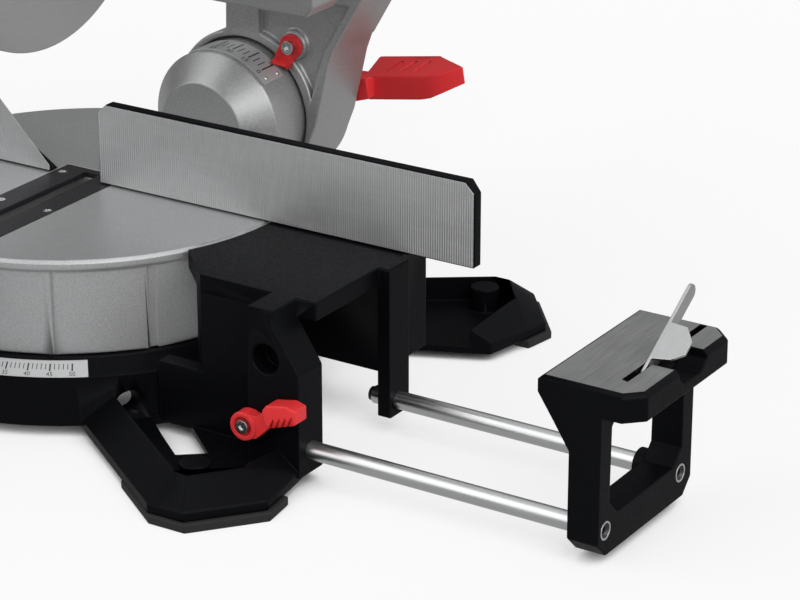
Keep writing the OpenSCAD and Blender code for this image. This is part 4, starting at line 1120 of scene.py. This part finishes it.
def soft_sun(name, strength, angle, direction):
    """Soft distant light that shines along a direction."""
    lamp = bpy.data.lights.new(name, "SUN")
    lamp.energy = strength
    lamp.angle = math.radians(angle)
    sun = bpy.data.objects.new(name, lamp)
    sun.rotation_mode = "QUATERNION"
    sun.rotation_quaternion = Vector(direction).to_track_quat("-Z", "Y")
    bpy.context.collection.objects.link(sun)


def floor_paper(stage):
    """Plain paper that takes the shadow, nearly white to the camera where nothing stands over it."""
    paper = Finish("floor_paper", stage.floor, 0.9)
    fibre = paper.noise(120.0, 4.0)
    paper.set("Base Color", paper.blend(fibre, shade(stage.floor, 0.99), shade(stage.floor, 1.01)))
    paper.set("Specular IOR Level", 0.0)
    paper.bump(fibre, 0.02, 0.0002)
    paper.close()
    rays = paper.add("ShaderNodeLightPath")
    mirrored = rays.outputs["Is Glossy Ray"]
    cover = paper.add("ShaderNodeAmbientOcclusion", [("Distance", COVER_REACH)], samples=8)
    seen = paper.maths("MULTIPLY", rays.outputs["Is Camera Ray"],
                       paper.grade(cover.outputs["AO"], COVERED, OPEN, 0.0, stage.white))
    strength = paper.grade(mirrored, 0.0, 1.0, 1.0, stage.mirrored)
    glow = paper.add("ShaderNodeEmission", [("Color", WHITE), ("Strength", strength)])
    mixed = paper.add("ShaderNodeMixShader", [(0, paper.maths("MAXIMUM", seen, mirrored)),
                                              (1, paper.shader.outputs["BSDF"]),
                                              (2, glow.outputs["Emission"])])
    feed(paper.tree, paper.tree.nodes["Material Output"].inputs["Surface"], mixed.outputs["Shader"])


class SAW_OT_stage(bpy.types.Operator):
    """Set the camera, the soft lights, the white surroundings and the floor"""
    bl_idname = "saw.stage"
    bl_label = "Stage"

    def execute(self, context):
        scene, stage = context.scene, context.scene.saw_stage
        scene.view_settings.view_transform = "Standard"
        camera = bpy.data.objects.new("camera", bpy.data.cameras.new("camera"))
        camera.data.lens = stage.lens
        camera.data.sensor_width = SENSOR_W
        camera.location = stage.eye
        camera.rotation_mode = "QUATERNION"
        camera.rotation_quaternion = (-Vector(stage.back)).to_track_quat("-Z", "Y")
        context.collection.objects.link(camera)
        scene.camera = camera
        white_surroundings(scene, stage)
        soft_sun("key_light", stage.key, KEY_WIDTH, KEY_WAY)
        soft_sun("fill_light", stage.fill, FILL_WIDTH, FILL_WAY)
        floor = start(bpy.ops.mesh.primitive_plane_add, "floor", size=FLOOR_SIDE,
                      location=(0.0, FLOOR_BACK, CAD_BOX[0][2]))
        floor_paper(stage)
        wear(floor, "floor_paper")
        return {"FINISHED"}


# Panel and registration

class SAW_PT_panel(bpy.types.Panel):
    """The saw's settings and pieces in the 3D view's sidebar"""
    bl_idname = "SAW_PT_panel"
    bl_label = "Mitre saw"
    bl_space_type = "VIEW_3D"
    bl_region_type = "UI"
    bl_category = "Mitre saw"

    def draw(self, context):
        for name in SETTINGS:
            group = getattr(context.scene, name)
            column = self.layout.column(heading=name)
            for key in group.__annotations__:
                column.prop(group, key)
        for operator in STEPS:
            self.layout.operator(operator.bl_idname)


SETTINGS = {"saw_finishes": SawFinishes, "saw_scales": SawScales, "saw_fence": SawFence,
            "saw_hardware": SawHardware, "saw_stage": SawStage}
STEPS = (SAW_OT_finishes, SAW_OT_castings, SAW_OT_fence_facings, SAW_OT_scales, SAW_OT_blade_tips,
         SAW_OT_insert_screws, SAW_OT_stage)
CLASSES = (*SETTINGS.values(), *STEPS, SAW_PT_panel)


def register():
    """Registers the classes and hangs the settings on the scene."""
    for cls in CLASSES:
        bpy.utils.register_class(cls)
    for name, group in SETTINGS.items():
        setattr(bpy.types.Scene, name, PointerProperty(type=group))


def unregister():
    """Takes the settings and the classes away again."""
    for name in SETTINGS:
        delattr(bpy.types.Scene, name)
    for cls in reversed(CLASSES):
        bpy.utils.unregister_class(cls)


def main():
    """Dresses the saw step by step."""
    register()
    for operator in STEPS:
        group, call = operator.bl_idname.split(".")
        getattr(getattr(bpy.ops, group), call)()


if __name__ == "__main__":
    main()
